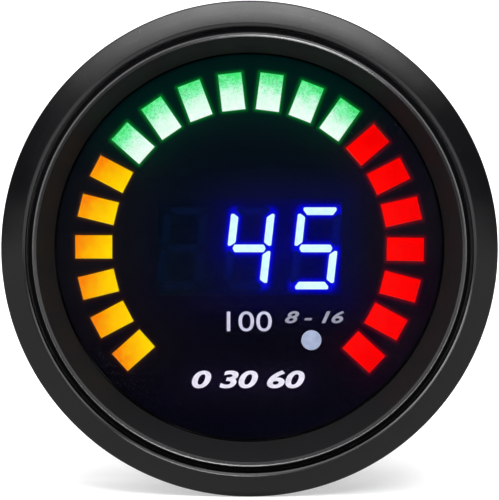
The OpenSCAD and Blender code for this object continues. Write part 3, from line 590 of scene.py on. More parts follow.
finishes = {
    "moulded_black": mouldedFinish("mouldedBlack", tone(30, 30, 31), 0.5, 2600.0, 0.03, 0.10),
    "gloss_black": glossFinish(),
    "matte_black": trimFinish(),
    "smoked_lens": lensFinish(),
    "gasket": mouldedFinish("gasketRubber", tone(18, 18, 18), 0.8, 3600.0, 0.02, 0.02,
                            Specular_IOR_Level=0.3),
    "mask_film": maskFinish(),
    "white_moulding": mouldedFinish("whiteMoulding", tone(228, 228, 222), 0.5, 2400.0, 0.02, 0.02, 0.04),
    "amber_guide": guideFinish("amberGuide", segments["amber"], tone(214, 104, 8), 0.55, 0.2),
    "green_guide": guideFinish("greenGuide", segments["green"], tone(30, 168, 84), 0.6),
    "red_guide": guideFinish("redGuide", segments["red"], tone(214, 0, 0), 0.2),
    "light_source": glowFinish("lightSource", tone(255, 250, 235), tone(250, 235, 200), 0.6),
    "indicator_lens": glowFinish("indicatorLens", tone(176, 188, 216), tone(160, 170, 200)),
    "display_housing": mouldedFinish("displayHousing", tone(26, 26, 30), 0.45, 3000.0, 0.02, 0.0),
    "bar_lit": glowFinish("barLit", tone(222, 255, 250), tone(206, 246, 255)),
    # the dark bars glow with painted light from the lit bars and a painted lift
    "bar_dark": faceFinish("barDark", tone(0, 8, 25)),
    "tinned_metal": metalFinish("tinnedMetal", tone(206, 202, 190), 0.28, brushedAlong(5000, 400, 5000), 0.2,
                                tone(170, 150, 110)),
    "board": boardFinish(),
    "chip": mouldedFinish("chipBody", tone(34, 34, 36), 0.55, 5000.0, 0.01, 0.0),
    "connector": mouldedFinish("connectorBlack", tone(24, 24, 25), 0.42, 4200.0, 0.015, 0.10),
    "brass": brassFinish("brassPlain", 0),
    "zinc_steel": metalFinish("zincSteel", tone(168, 172, 178), 0.34, brushedAlong(420, 5200, 5200), 0.25,
                              tone(150, 158, 176)),
    "black_steel": metalFinish("blackSteel", tone(70, 70, 74), 0.36, brushedAlong(3000, 3000, 3000), 0.2,
                               tone(30, 30, 32)),
    "capacitor_can": metalFinish("capacitorCan", tone(190, 190, 196), 0.3, brushedAlong(4000, 400, 4000), 0.2,
                                 tone(150, 150, 160)),
}
print("finishes made:", len(finishes))


slots = {part["node"]: part["material_slot"] for part in frame["record"]["subparts"]}
for nodeName, slotName in slots.items():
    for holder in nodes[nodeName].material_slots:
        holder.material = finishes[slotName]


# Mesh helpers

def addPiece(name, mesh, nodeName, stands=True, finish=None):
    # puts a finished mesh in the scene as a piece that rides with its CAD node
    for polygon in mesh.polygons:
        polygon.material_index = 0
    mesh.materials.clear()
    mesh.materials.append(finish or finishes[slots[nodeName]])
    piece = bpy.data.objects.new(name, mesh)
    bpy.context.scene.collection.objects.link(piece)
    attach(piece, nodes[nodeName]["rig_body"])
    if stands:
        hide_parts(nodeName)


def smoothMesh(mesh, angle):
    mesh.polygons.foreach_set("use_smooth", [True] * len(mesh.polygons))
    mesh.set_sharp_from_angle(angle=math.radians(angle))
    mesh.update()
    return mesh


def cleanMesh(mesh, merge, recalc=True):
    # points this near to each other become one, and faces turn outwards
    form = bmesh.new()
    form.from_mesh(mesh)
    bmesh.ops.remove_doubles(form, verts=form.verts, dist=merge * mm)
    if recalc:
        bmesh.ops.recalc_face_normals(form, faces=form.faces)
    form.to_mesh(mesh)
    form.free()
    return mesh


def meshFrom(name, points, faces, recalc=True):
    mesh = bpy.data.meshes.new(name)
    mesh.from_pydata([[value * mm for value in point] for point in points], [], faces)
    return cleanMesh(mesh, 0.0005, recalc)


def ringFaces(count, rows, closed=True):
    # faces between this many copies of an outline that stand in a circle
    around = rows if closed else rows - 1
    return [(i * rows + j, i * rows + (j + 1) % rows, (i + 1) % count * rows + (j + 1) % rows,
             (i + 1) % count * rows + j) for i in range(count) for j in range(around)]


def plainMesh(thing):
    # what an object's modifiers make of it, as a plain mesh; the object goes
    depsgraph = bpy.context.evaluated_depsgraph_get()
    mesh = bpy.data.meshes.new_from_object(thing.evaluated_get(depsgraph), depsgraph=depsgraph)
    thing.modifiers.clear()
    bpy.data.objects.remove(thing)
    return mesh


def looseObject(name, mesh):
    thing = bpy.data.objects.new(name, mesh)
    bpy.context.scene.collection.objects.link(thing)
    return thing


def arc(centre, radius, start, end, steps):
    turns = [math.radians(start + (end - start) * i / steps) for i in range(steps + 1)]
    return [(centre[0] + radius * math.cos(turn), centre[1] + radius * math.sin(turn)) for turn in turns]


def rounded(corners, steps):
    # a closed outline whose corners are (across, along, rounding)
    outline = []
    for i, (a, b, size) in enumerate(corners):
        here = Vector((a, b))
        if not size:
            outline.append((a, b))
            continue
        back = (Vector(corners[i - 1][:2]) - here).normalized()
        ahead = (Vector(corners[(i + 1) % len(corners)][:2]) - here).normalized()
        half = back.angle(ahead) / 2
        centre = here + (back + ahead).normalized() * size / math.sin(half)
        first = here + back * size / math.tan(half) - centre
        last = here + ahead * size / math.tan(half) - centre
        for k in range(steps + 1):
            ray = first.slerp(last, k / steps).normalized() * first.length
            outline.append((centre.x + ray.x, centre.y + ray.y))
    return outline


def lathe(name, outline, count=192, at=(0, 0), closed=True):
    # turns a closed outline of (radius, depth) round an axis along Y
    points = []
    for i in range(count):
        turn = 2 * math.pi * i / count
        points += [(at[0] + r * math.cos(turn), y, at[1] + r * math.sin(turn)) for r, y in outline]
    return meshFrom(name, points, ringFaces(count, len(outline), closed))


dress = {
    "merge": 0.0008,
    "flat": 0.6,  # degrees up to which faces become one
    "segments": 2,
    "sharpFrom": 35,
    "smoothTo": 38,
}


def dressNode(nodeName, name, bevel):
    # a copy of a node whose edges are rounded
    mesh = nodes[nodeName].data.copy()
    form = bmesh.new()
    form.from_mesh(mesh)
    bmesh.ops.remove_doubles(form, verts=form.verts, dist=dress["merge"] * mm)
    bmesh.ops.dissolve_limit(form, angle_limit=math.radians(dress["flat"]), verts=form.verts,
                             edges=form.edges)
    form.to_mesh(mesh)
    form.free()
    mesh.polygons.foreach_set("use_smooth", [True] * len(mesh.polygons))
    thing = looseObject(name + "Raw", mesh)
    edge = thing.modifiers.new("edge", "BEVEL")
    edge.width = bevel * mm
    edge.segments = dress["segments"]
    edge.limit_method = "ANGLE"
    edge.angle_limit = math.radians(dress["sharpFrom"])
    made = smoothMesh(plainMesh(thing), dress["smoothTo"])
    made.name = name
    addPiece(name, made, nodeName)


def spanOf(nodeName):
    low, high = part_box(nodeName)
    return low / mm, high / mm


# Bezel and trim ring

bezel = {
    "boreR": 27.0,
    "neckR": 26.45,
    "outerR": 30.0,
    "edgeH": 2.6,
    "edgeRound": 0.32,
    "lipH": 4.0,
    "lipRound": 0.35,
    "crestR": 27.38,
    "crestH": 4.02,
    "crestOuter": 0.15,
    "bevelTurn": 113,
    "bevelTo": (27.05, 3.838),
    "bevelRound": 0.05,
    "stepH": 1.2,
    "backRound": 0.25,
    "count": 256,
    "smoothTo": 40,
}


def makeBezel():
    edge = Vector((bezel["outerR"] - bezel["edgeRound"], bezel["edgeH"] - bezel["edgeRound"]))
    lip = Vector((bezel["boreR"] + bezel["lipRound"], bezel["lipH"] - bezel["lipRound"]))
    way = lip - edge
    lean = math.acos((bezel["edgeRound"] - bezel["lipRound"]) / way.length)
    slope = math.degrees(math.atan2(way.y, way.x) - lean)
    back = bezel["backRound"]
    outline = [(bezel["neckR"], 0)]
    outline += arc((bezel["outerR"] - back, back), back, -90, 0, 6)
    outline += arc(edge, bezel["edgeRound"], 0, slope, 10)
    crest = bezel["crestOuter"]
    outline += arc((bezel["crestR"], bezel["crestH"] - crest), crest, slope, bezel["bevelTurn"], 8)
    outline += arc(bezel["bevelTo"], bezel["bevelRound"], bezel["bevelTurn"], 180, 5)
    outline += [(bezel["boreR"], bezel["stepH"]), (bezel["neckR"], bezel["stepH"])]
    mesh = lathe("bezel", [(r, -height) for r, height in outline], bezel["count"])
    addPiece("bezel", smoothMesh(mesh, bezel["smoothTo"]), "bezel_ring")


trim = {
    "dialR": 23.7,
    "footW": 0.5,
    "outerR": 26.65,
    "shoulderH": 3.3,
    "shoulderRound": 0.1,
    "brow": (26.29, 3.66),
    "ridgeR": 26.14,
    "ridgeRound": 0.14,
    "valley": (25.95, 3.8),
    "slopeFoot": (25.93, 3.8055),
    "crest": (25.69, 3.83),
    "crestRound": 0.04,
    "topH": 3.9,
    "seatH": 2.0,
    "seatR": 25.684,
    "lensDepth": 1.2,
    "count": 256,
    "smoothTo": 40,
}


def makeTrim():
    edge, ridge = trim["shoulderRound"], trim["ridgeRound"]
    outline = [(trim["dialR"], -trim["lensDepth"]), (trim["dialR"] + trim["footW"], -trim["lensDepth"]),
               (trim["seatR"], trim["seatH"]), (trim["outerR"], trim["seatH"])]
    outline += arc((trim["outerR"] - edge, trim["shoulderH"]), edge, 0, 45, 4)
    outline += [trim["brow"]]
    outline += arc((trim["ridgeR"], trim["topH"] - ridge), ridge, 0, 155, 12)
    outline += [trim["valley"], trim["slopeFoot"]]
    outline += arc(trim["crest"], trim["crestRound"], 75, 157, 4)
    mesh = lathe("trimFunnel", [(r, -height) for r, height in outline], trim["count"])
    addPiece("trimFunnel", smoothMesh(mesh, trim["smoothTo"]), "trim_ring")


makeBezel()
makeTrim()
print("bezel and trim ring made")


# Display: its face, its bars and the numbers on the mask

display = {
    "digitH": 10.02,
    "span": 4.4,
    "pitch": 8.15,
    "slant": 6.4,
    "barW": 0.93,
    "flatSpace": 0.34,
    "uprightSpace": 0.62,
    "shift": -0.05,
    "drop": 0.2,
    "faceDepth": 3.39,
    "barDepth": 3.36,
    "barFront": 3.31,
    "barSink": 0.02,
    "barEdge": (0.015, 0.03),
    "cornerRound": 0.15,
    "noseRound": 0.14,
    "middleRound": 0.18,
    "tipRound": 0.2,
    "tipShare": 0.55,  # these are shares of half a bar's width
    "backShare": 0.1,
    "cutShare": 0.95,
    "noseShare": 0.3,
    "window": (11.7, 6.3),
    "cells": (230, 124),
    "places": [(0, 1, True), (1, 0.5, False), (1, -0.5, False), (0, -1, True),
               (-1, -0.5, False), (-1, 0.5, False), (0, 0, True)],
    "lit": [[], [1, 2, 5, 6], [0, 2, 3, 5, 6]],
    # painted glow on the display's face and dark bars: a field that fades to the left, a wide glow and a halo
    # round the lit bars
    "fieldFrom": -8.5,
    "fieldTo": -1.5,
    "fieldLevel": 0.02,
    "wideLevel": 0.062,
    "wideWidth": 1.2,
    "haloLevel": 0.58,
    "haloWidth": 0.4,
}


def barLines(lit):
    # the bars that are lit, or the others: two ends, the side they lie on, and whether they lie flat
    rise = (display["digitH"] - display["barW"]) / 2
    lean = math.tan(math.radians(display["slant"]))
    lines = []
    for digit, on in enumerate(display["lit"]):
        for number, (across, up, flat) in enumerate(display["places"]):
            if (number in on) != lit:
                continue
            half = (display["span"] - display["flatSpace"] if flat else rise - display["uprightSpace"]) / 2
            x, z = across * display["span"] / 2, up * rise
            ends = [(x - half, z), (x + half, z)] if flat else [(x, z - half), (x, z + half)]
            start = (digit - 1) * display["pitch"] + display["shift"]
            first, last = [Vector((start + a + b * lean, b - display["drop"])) for a, b in ends]
            lines.append((first, last, across, up, flat))
    return lines


def makeBars(name, lit, nodeName):
    # each bar is a long hexagon with softened points and a slightly raised middle
    points, faces = [], []
    half = display["barW"] / 2
    sink, (edgeH, edgeIn) = display["barSink"], display["barEdge"]
    for first, last, side, up, flat in barLines(lit):
        ahead = (last - first).normalized() * half
        outer = (Vector((0, up or 1)) if flat else Vector((side, 0))) * half
        if flat and not up:
            back = cut = ahead * display["tipShare"]
            nose = outer * 0
            corner, tip = display["middleRound"], display["tipRound"]
        else:
            back, cut = ahead * display["backShare"], ahead * display["cutShare"]
            nose = outer * display["noseShare"]
            corner, tip = display["cornerRound"], display["noseRound"]
        shape = [(first + back + outer, corner), (last - back + outer, corner), (last + nose, tip),
                 (last - cut - outer, corner), (first + cut - outer, corner), (first + nose, tip)]
        soft = rounded([(p.x, p.y, size) for p, size in shape], 3)
        count = len(soft)
        middle = (first + last) / 2
        start = len(points)
        for depth, inset in ((display["barDepth"] + sink, 0), (display["barFront"] + edgeH, 0),
                             (display["barFront"], edgeIn)):
            for x, z in soft:
                way = (middle - Vector((x, z))).normalized() * inset
                points.append((x + way.x, depth, z + way.y))
        for layer in (0, 1):
            for i in range(count):
                k = (i + 1) % count
                low, high = start + layer * count, start + (layer + 1) * count
                faces.append((low + i, low + k, high + k, high + i))
        faces.append(tuple(start + i for i in reversed(range(count))))
        faces.append(tuple(start + 2 * count + i for i in range(count)))
    mesh = meshFrom(name, points, faces)
    # the dark bars get the painted glow too, without its halo
    if not lit:
        storePaintedGlow(mesh, halo=False)
    addPiece(name, mesh, nodeName)


def makeFace():
    # thin plate over the display's housing; every point knows how near it is to a lit bar and keeps the
    # painted glow from that
    columns, rows = display["cells"]
    halfW, halfH = display["window"]
    form = bmesh.new()
    grid = [[form.verts.new(((2 * i / columns - 1) * halfW * mm, display["barDepth"] * mm,
                             (2 * j / rows - 1) * halfH * mm)) for j in range(rows + 1)]
            for i in range(columns + 1)]
    for i in range(columns):
        for j in range(rows):
            form.faces.new((grid[i][j], grid[i + 1][j], grid[i + 1][j + 1], grid[i][j + 1]))
    made = bmesh.ops.extrude_face_region(form, geom=list(form.faces))
    for corner in made["geom"]:
        if isinstance(corner, bmesh.types.BMVert):
            corner.co.y = display["faceDepth"] * mm
    bmesh.ops.recalc_face_normals(form, faces=form.faces)
    mesh = bpy.data.meshes.new("displayFace")
    form.to_mesh(mesh)
    form.free()
    storePaintedGlow(mesh)
    finish = faceFinish("displayFace", (0, 0, 0, 1))
    addPiece("displayFace", mesh, "display_module", stands=False, finish=finish)


def storePaintedGlow(mesh, halo=True):
    # painted light at each point: a painted field that fades to the left, and a painted glow that the lit
    # bars would throw round them
    lines = [line[:2] for line in barLines(True)]
    levels = []
    for vertex in mesh.vertices:
        spot = Vector((vertex.co.x, vertex.co.z)) / mm
        apart = [max(distanceTo(spot, first, last) - display["barW"] / 2, 0) for first, last in lines]
        share = (spot.x - display["fieldFrom"]) / (display["fieldTo"] - display["fieldFrom"])
        share = min(max(share, 0), 1)
        level = display["fieldLevel"] * share * share * (3 - 2 * share)
        level += display["wideLevel"] * sum(math.exp(-far / display["wideWidth"]) for far in apart)
        if halo:
            level += display["haloLevel"] * math.exp(-(min(apart) / display["haloWidth"]) ** 2)
        levels.append(level)
    layer = mesh.attributes.new("paintedGlow", "FLOAT", "POINT")
    layer.data.foreach_set("value", levels)


def distanceTo(spot, first, last):
    way = last - first
    share = min(max((spot - first).dot(way) / way.length_squared, 0), 1)
    return (spot - first - way * share).length


legends = {
    "depth": 3.0,
    "front": 2.985,
    "thick": 0.1,
    "steps": 5,
    "merge": 0.0001,
    "dim": 0.9,
    "readings": [
        # name, text, middle, width, height, lean, extra weight, colour
        ("numberLarge", "100", (-0.02, -9.11), 5.5, 2.45, 0.0, 0.0, (214, 212, 236)),
        ("numberSmall", "8 - 16", (7.94, -8.59), 7.2, 1.5, 0.3, 0.022, (160, 160, 178)),
        ("numberRange", "0 30 60", (-0.15, -16.21), 13.8, 2.2, 0.22, 0.03, (244, 240, 255)),
    ],
}


def makeLegends():
    for name, text, middle, width, height, lean, weight, color in legends["readings"]:
        curve = bpy.data.curves.new(name, "FONT")
        curve.body = text
        curve.shear = lean
        curve.offset = weight
        curve.extrude = legends["thick"]
        curve.resolution_u = legends["steps"]
        mesh = plainMesh(looseObject(name + "Raw", curve))
        columns = list(zip(*[vertex.co for vertex in mesh.vertices]))
        lows, highs = [min(column) for column in columns], [max(column) for column in columns]
        for vertex in mesh.vertices:
            a, b, c = [(value - low) / (high - low) for value, low, high in zip(vertex.co, lows, highs)]
            depth = legends["depth"] + (legends["front"] - legends["depth"]) * c
            vertex.co = Vector((middle[0] + (a - 0.5) * width, depth, middle[1] + (b - 0.5) * height)) * mm
        dim = [value * legends["dim"] for value in color]
        addPiece(name, cleanMesh(mesh, legends["merge"]), "dial_mask", stands=False,
                 finish=glowFinish(name, tone(*color), tone(*dim)))


makeFace()
makeBars("barsLit", True, "digit_bars_lit")
makeBars("barsDark", False, "digit_bars_dark")
makeLegends()
print("display and numbers made")


# Barrel, rear cover and what stands on it

edgeRounds = {
    "case_barrel": ("barrelShell", 0.12),
    "rear_cover": ("rearCover", 0.15),
    "cover_seal": ("coverSeal", 0.08),
    "power_socket": ("powerSocket", 0.10),
    "sensor_socket": ("sensorSocket", 0.10),
    "power_pins": ("powerPins", 0.08),
    "sensor_pins": ("sensorPins", 0.08),
    "clamp_bracket": ("clampBracket", 0.14),
    "flat_washers": ("flatWashers", 0.12),
}
for nodeName, (pieceName, edgeRound) in edgeRounds.items():
    dressNode(nodeName, pieceName, edgeRound)
print("rear pieces dressed")


screws = {
    "count": 4,
    "at": 22.3,
    "turn": 45,
    "headR": 2.25,
    "headH": 1.7,
    "dome": [(0, 0), (0.45, 0.04), (0.75, 0.18), (0.93, 0.55), (1, 0.9)],  # share of the radius, drop
    "foot": 0.08,
    "shankR": 1.25,
    "shankL": 8.0,
    "crossW": 0.62,
    "crossL": 2.5,
    "crossDepth": 1.0,
    "crossTaper": (0.55, 1.15),
    "crossOver": 0.5,
    "around": 40,
    "smoothTo": 30,
}
boxFaces = [(0, 1, 2, 3), (7, 6, 5, 4), (0, 4, 5, 1), (1, 5, 6, 2), (2, 6, 7, 3), (3, 7, 4, 0)]


def geometryTree(name, inputs):
    return makeGroup(name, inputs, [("Geometry", "NodeSocketGeometry")], "GeometryNodeTree")


def finishTree(tree, source, sink, geometry):
    realized = addNode(tree, "GeometryNodeRealizeInstances", {0: geometry}).outputs[0]
    painted = addNode(tree, "GeometryNodeSetMaterial", {"Geometry": realized, "Material": source["Finish"]})
    tree.links.new(painted.outputs[0], sink[0])


def runTree(name, tree, values):
    # puts the tree on an empty mesh with these values and turns the result into a plain mesh
    thing = looseObject(name + "Raw", bpy.data.meshes.new(name))
    modifier = thing.modifiers.new(name, "NODES")
    modifier.node_group = tree
    for item in tree.interface.items_tree:
        if item.in_out == "INPUT" and item.name in values:
            modifier[item.identifier] = values[item.name]
    return plainMesh(thing)


def makeRingTree():
    # copies of an object on a circle round an axis along Y, each turned with its place
    tree, source, sink = geometryTree("copiesOnCircle", [
        ("Piece", "NodeSocketObject", None), ("Count", "NodeSocketInt", 4), ("Radius", floatKind, 0.01),
        ("Turn", floatKind, 0.0), ("Finish", "NodeSocketMaterial", None)])
    circle = addNode(tree, "GeometryNodeMeshCircle",
                     {"Vertices": source["Count"], "Radius": source["Radius"]})
    number = addNode(tree, "GeometryNodeInputIndex").outputs[0]
    spin = times(tree, number, calc(tree, "DIVIDE", 2 * math.pi, source["Count"]))
    angles = addNode(tree, "ShaderNodeCombineXYZ", {2: spin}).outputs[0]
    info = addNode(tree, "GeometryNodeObjectInfo", {"Object": source["Piece"], "As Instance": True})
    copies = addNode(tree, "GeometryNodeInstanceOnPoints", {
        "Points": circle.outputs[0], "Instance": info.outputs["Geometry"], "Rotation": angles}).outputs[0]
    lay = addNode(tree, "ShaderNodeCombineXYZ", {0: math.pi / 2, 1: source["Turn"]}).outputs[0]
    turned = addNode(tree, "GeometryNodeTransform", {"Geometry": copies, "Rotation": lay}).outputs[0]
    finishTree(tree, source, sink, turned)
    return tree


def makeScrews():
    # one pan head screw with a cross recess, copied four times
    back = spanOf("cover_screws")[1].y
    r, h, foot = screws["headR"], screws["headH"], screws["foot"]
    shankR, shankL = screws["shankR"], screws["shankL"]
    outline = [(r * share, h - drop) for share, drop in screws["dome"]]
    outline += [(r, foot), (r - foot, 0), (shankR, 0), (shankR, -shankL), (0, -shankL)]
    screw = looseObject("screwForm", lathe("screwForm", outline, screws["around"], closed=False))
    halfW, halfL = screws["crossW"] / 2, screws["crossL"] / 2
    heights = (h - screws["crossDepth"], h + screws["crossOver"])
    for flat in (False, True):
        points = []
        for y, share in zip(heights, screws["crossTaper"]):
            a, b = (halfL * share, halfW) if flat else (halfW, halfL * share)
            points += [(a, y, b), (-a, y, b), (-a, y, -b), (a, y, -b)]
        cutter = looseObject("crossCut", meshFrom("crossCut", points, boxFaces))
        cut = screw.modifiers.new("cross", "BOOLEAN")
        cut.operation = "DIFFERENCE"
        cut.solver = "EXACT"
        cut.object = cutter
        mesh = plainMesh(screw)
        bpy.data.objects.remove(cutter)
        screw = looseObject("screwForm", mesh)
    # the tree copies along Z and then lays the circle down, so the screw is stood up first
    for vertex in screw.data.vertices:
        x, y, z = vertex.co
        vertex.co = (x, z, -(y + (back - h) * mm))
    made = runTree("coverScrews", makeRingTree(), {
        "Piece": screw, "Count": screws["count"], "Radius": screws["at"] * mm,
        "Turn": math.radians(screws["turn"]), "Finish": finishes["black_steel"]})
    bpy.data.objects.remove(screw)
    addPiece("coverScrews", smoothMesh(made, screws["smoothTo"]), "cover_screws")


makeScrews()
print("screws made")


# Studs, washers and thumb nuts

studs = {
    "x": 17.0,
    "threadR": 2.0,
    "pitch": 0.7,
    "ridge": 0.4,
    "coreR": 1.6,
    "from": 31.6,
    "to": 57.7,
    "runOut": 0.4,
    "tip": 0.45,
    "tipRound": 0.1,
    "around": 48,
    "smoothTo": 40,
    "perTurn": 24,
    "headH": 2.4,
    "headAcross": 7.0,
    "headEdge": 0.3,
}


def makeThreadTree():
    # a ridge that winds round an axis along Y, with closed ends
    tree, source, sink = geometryTree("threadCoil", [
        ("Turns", floatKind, 10.0), ("Radius", floatKind, 0.002), ("Length", floatKind, 0.02),
        ("Ridge", floatKind, 0.0003), ("Per Turn", "NodeSocketInt", 24), ("Place", vectorKind, None),
        ("Finish", "NodeSocketMaterial", None)])
    spiral = addNode(tree, "GeometryNodeCurveSpiral", {
        "Resolution": source["Per Turn"], "Rotations": source["Turns"], "Start Radius": source["Radius"],
        "End Radius": source["Radius"], "Height": source["Length"]}).outputs[0]
    upright = addNode(tree, "GeometryNodeSetCurveNormal", {"Curve": spiral}, mode="Z_UP").outputs[0]
    section = addNode(tree, "GeometryNodeCurvePrimitiveCircle", {"Resolution": 4, "Radius": source["Ridge"]})
    swept = addNode(tree, "GeometryNodeCurveToMesh", {
        "Curve": upright, "Profile Curve": section.outputs[0], "Fill Caps": True}).outputs[0]
    placed = addNode(tree, "GeometryNodeTransform", {
        "Geometry": swept, "Rotation": (-math.pi / 2, 0, 0), "Translation": source["Place"]}).outputs[0]
    finishTree(tree, source, sink, placed)
    return tree


def joinMeshes(name, meshes):
    form = bmesh.new()
    for mesh in meshes:
        form.from_mesh(mesh)
    joined = bpy.data.meshes.new(name)
    form.to_mesh(joined)
    form.free()
    return joined


def makeStuds():
    low, high = spanOf("studs")
    tree = makeThreadTree()
    ridge, start, tip, edge = studs["ridge"], studs["from"], studs["tip"], studs["headEdge"]
    threadR, coreR, headTop = studs["threadR"], studs["coreR"], low.y + studs["headH"]
    reach = studs["headAcross"] / math.sqrt(3)
    length = studs["to"] - start
    meshes = []
    for x in (-studs["x"], studs["x"]):
        core = rounded([(0, headTop, 0), (threadR, headTop, 0), (threadR, start - studs["runOut"], 0),
                        (coreR, start, 0), (coreR, high.y - tip, 0),
                        (coreR - tip, high.y, studs["tipRound"]), (0, high.y, 0)], 3)
        meshes.append(lathe("studCore", core, studs["around"], (x, 0), closed=False))
        head = [(0, low.y), (reach - edge, low.y), (reach, low.y + edge), (reach, headTop), (0, headTop)]
        meshes.append(lathe("studHead", head, 6, (x, 0), closed=False))
        meshes.append(runTree("studThread", tree, {
            "Turns": length / studs["pitch"], "Radius": (threadR - ridge) * mm, "Length": length * mm,
            "Ridge": ridge * mm, "Per Turn": studs["perTurn"], "Place": (x * mm, start * mm, 0),
            "Finish": finishes["zinc_steel"]}))
    addPiece("threadedStuds", smoothMesh(joinMeshes("threadedStuds", meshes), studs["smoothTo"]), "studs")


nut = {
    "x": 17.0,
    "front": 39.3,
    "collarH": 3.0,
    "headH": 5.0,
    "collarR": 3.8,
    "headR": 5.5,
    "boreR": 2.05,
    "knurlDepth": 0.32,
    "knurlCount": 34,
    "knurlLean": 1.9,
    "fade": 0.3,
    "collarEdge": 0.2,
    "neck": [(0, -0.35), (0.1, -0.1), (0.35, 0)],  # past the collar's radius, depth from the head
    "faceIn": 0.15,
    "dish": (0.5, 0.75, 0.25),  # how far in its rim and its floor begin, and its depth
    "boss": (0.7, 0.45),
    "smoothTo": 24,
    "around": 10,
    "along": 26,
    "chamfer": 0.45,
    "countersink": 0.45,
}


def knurl(turn, y):
    # depth of the crossed grooves at this place of the head, from 0 to 1
    height = (y - nut["front"]) / nut["headH"] * nut["knurlLean"]
    deepest = 0
    for sign in (-1, 1):
        phase = (turn / (2 * math.pi) * nut["knurlCount"] + sign * height) % 1
        deepest = max(deepest, 1 - abs(phase - 0.5) * 4)
    return deepest


def makeNut(name, nodeName, x):
    front, count = nut["front"], nut["knurlCount"] * nut["around"]
    head = front + nut["collarH"]
    back = head + nut["headH"]
    r, c = nut["headR"], nut["chamfer"]
    sink = nut["countersink"]
    collar, bore = nut["collarR"], nut["boreR"]
    steps = nut["along"]
    grooved = [(r, head + c + (back - head - 2 * c) * i / steps) for i in range(steps + 1)]
    edge, face = nut["collarEdge"], nut["faceIn"]
    (rim, floor, depth), (foot, top) = nut["dish"], nut["boss"]
    outline = [(bore + sink, front), (collar - edge, front), (collar, front + edge)]
    outline += [(collar + out, head + down) for out, down in nut["neck"]]
    outline += [(r - c - face, head), *grooved, (r - c - face, back), (r - c - rim, back),
                (r - c - floor, back - depth), (bore + sink + foot, back - depth), (bore + sink + top, back),
                (bore + sink, back), (bore, back - sink), (bore, front + sink)]
    points = []
    for i in range(count):
        turn = 2 * math.pi * i / count
        for radius, y in outline:
            if radius == r:
                fade = max(min(1, (y - head - c) / nut["fade"], (back - c - y) / nut["fade"]), 0)
                radius -= nut["knurlDepth"] * knurl(turn, y) * fade
            points.append((x + radius * math.cos(turn), y, radius * math.sin(turn)))
    mesh = meshFrom(name, points, ringFaces(count, len(outline)))
    addPiece(name, smoothMesh(mesh, nut["smoothTo"]), nodeName, finish=brassFinish(name + "Brass", x))


makeStuds()
makeNut("thumbNutLeft", "thumb_nut_left", -nut["x"])
makeNut("thumbNutRight", "thumb_nut_right", nut["x"])
print("clamp hardware made")


# Studio

studio = {
    "floorR": 1500,
    "floorDrop": 0.02,
    "floorCount": 96,
    "floorGloss": 0.7,
    "floorColor": (0.62, 0.62, 0.62, 1),
    # painted light: the floor's seen glow near the gauge, rising to full white between these distances
    "floorPaintedWhiteNear": 0.45,
    "paintedWhiteFrom": 90,
    "paintedWhiteTo": 420,
    "backdropR": 1400,
    "backdropH": 900,
    "backdropLift": 0.5,
    "backdropCount": 32,
    "backdropGloss": 0.8,
    "world": (0.28, 0.28, 0.285, 1),
}
lamps = {
    # name: place, aim, width, depth, radiance
    "floorBack": ((0, 420, 760), (0, 260, -30), 700, 420, 2.2),
    "sideLeft": ((-700, -420, -5), (0, 0, 0), 260, 200, 1.35),
    "sideRight": ((700, -420, -5), (0, 0, 0), 260, 200, 1.35),
    "rearSoft": ((-420, 820, 640), (0, 20, 0), 620, 420, 1.9),
    "rearSide": ((620, 560, 260), (0, 20, 0), 360, 360, 1.3),
}
ringLamps = {
    # name: turn round the dial's axis, angle off that axis, distance, width, depth, radiance
    "rimRight": (74, 30, 900, 330, 120, 48),
    "lipTop": (103, 46, 800, 620, 150, 9),
    "lipLeft": (152, 46, 800, 440, 150, 17),
    "lipRight": (28, 46, 800, 420, 150, 7),
}
topArc = {
    "turns": [37.5, 45, 52.5, 60, 67.5, 75, 82.5, 90],
    "levels": [1.2, 5.2, 10.5, 16.5, 22, 25.5, 28.5, 30],
    "off": 66.3,
    "distance": 600,
    "width": 72,
    "depth": 100,
}


def addLamp(name, place, aim, sideways, width, depth, radiance):
    data = bpy.data.lights.new(name, "AREA")
    data.shape = "RECTANGLE"
    data.size, data.size_y = width * mm, depth * mm
    data.energy = radiance * math.pi * data.size * data.size_y
    lamp = bpy.data.objects.new(name, data)
    bpy.context.scene.collection.objects.link(lamp)
    back = (Vector(place) - Vector(aim)).normalized()
    side = (sideways - back * sideways.dot(back)).normalized()
    lamp.rotation_euler = Matrix((side, back.cross(side), back)).transposed().to_euler()
    lamp.location = Vector(place) * mm


def makeLamps():
    for name, (place, aim, width, depth, radiance) in lamps.items():
        across = Vector(aim) - Vector(place)
        addLamp(name, place, aim, Vector((-across.y, across.x, 0)), width, depth, radiance)
    rings = dict(ringLamps)
    for turn, level in zip(topArc["turns"], topArc["levels"]):
        for number, at in enumerate({turn, 180 - turn}):
            rings[f"top{turn}_{number}"] = (at, topArc["off"], topArc["distance"], topArc["width"],
                                            topArc["depth"], level)
    for name, (turn, off, distance, width, depth, radiance) in rings.items():
        turn, off = math.radians(turn), math.radians(off)
        outward = Vector((math.cos(turn), 0, math.sin(turn)))
        place = (outward * math.sin(off) - Vector((0, math.cos(off), 0))) * distance
        sideways = Vector((-outward.z, 0, outward.x))
        addLamp(name, place, (0, 0, 0), sideways, width, depth, radiance)


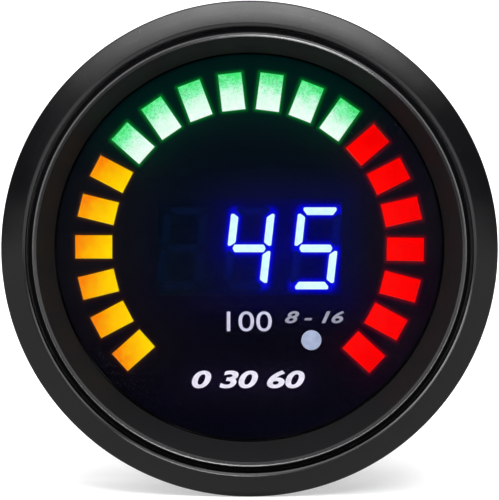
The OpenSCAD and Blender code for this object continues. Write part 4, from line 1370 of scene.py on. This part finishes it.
def seenRay(tree):
    # 1 for what the camera sees directly, in a mirror or through glass
    rays = addNode(tree, "ShaderNodeLightPath").outputs
    direct = calc(tree, "MAXIMUM", rays["Is Camera Ray"], rays["Is Glossy Ray"])
    return calc(tree, "MAXIMUM", direct, rays["Is Transmission Ray"])


def paper(name, roughness):
    return newMaterial(name, Specular_IOR_Level=0.1, Roughness=roughness, Base_Color=studio["floorColor"],
                       Emission_Color=(1, 1, 1, 1))


def makeStage():
    floorZ = cadBounds[0].z / mm - studio["floorDrop"]
    floorFinish, tree, shader = paper("floorPaper", studio["floorGloss"])
    place = objectPlace(tree)
    drifted = useGroup(tree, toneDrift, {"Vector": place, "Color": studio["floorColor"], "Scale": 9.0,
                                         "Amount": 0.015})
    # painted light on the floor: its seen glow rises with the distance from the gauge, from a lower level
    # near it to full white far off, so the floor is painted darker round the gauge
    off = vectorCalc(tree, "LENGTH", {0: place}, "Value")
    paintedWhite = spread(tree, off, studio["paintedWhiteFrom"] * mm, studio["paintedWhiteTo"] * mm, studio["floorPaintedWhiteNear"], 1.0)
    feed(shader, Base_Color=drifted["Color"], Emission_Strength=times(tree, seenRay(tree), paintedWhite))
    count = studio["floorCount"]
    turns = [2 * math.pi * i / count for i in range(count)]
    ring = [(studio["floorR"] * math.cos(turn), studio["floorR"] * math.sin(turn), floorZ) for turn in turns]
    floor = looseObject("floor", meshFrom("floor", ring, [tuple(range(count))]))
    floor.data.materials.append(floorFinish)
    wallFinish, tree, shader = paper("backdropPaper", studio["backdropGloss"])
    feed(shader, Emission_Strength=seenRay(tree))
    points = []
    steps = studio["backdropCount"]
    for i in range(steps + 1):
        turn = math.pi * i / steps
        x, y = studio["backdropR"] * math.cos(turn), studio["backdropR"] * math.sin(turn)
        points += [(x, y, floorZ + studio["backdropLift"]), (x, y, floorZ + studio["backdropH"])]
    faces = [(2 * i, 2 * i + 1, 2 * i + 3, 2 * i + 2) for i in range(steps)]
    wall = looseObject("backdrop", meshFrom("backdrop", points, faces, recalc=False))
    wall.data.materials.append(wallFinish)
    world = bpy.data.worlds.new("studioWorld")
    world.use_nodes = True
    world.node_tree.nodes["Background"].inputs[0].default_value = studio["world"]
    bpy.context.scene.world = world


makeLamps()
makeStage()
makeCamera()
print("studio made")
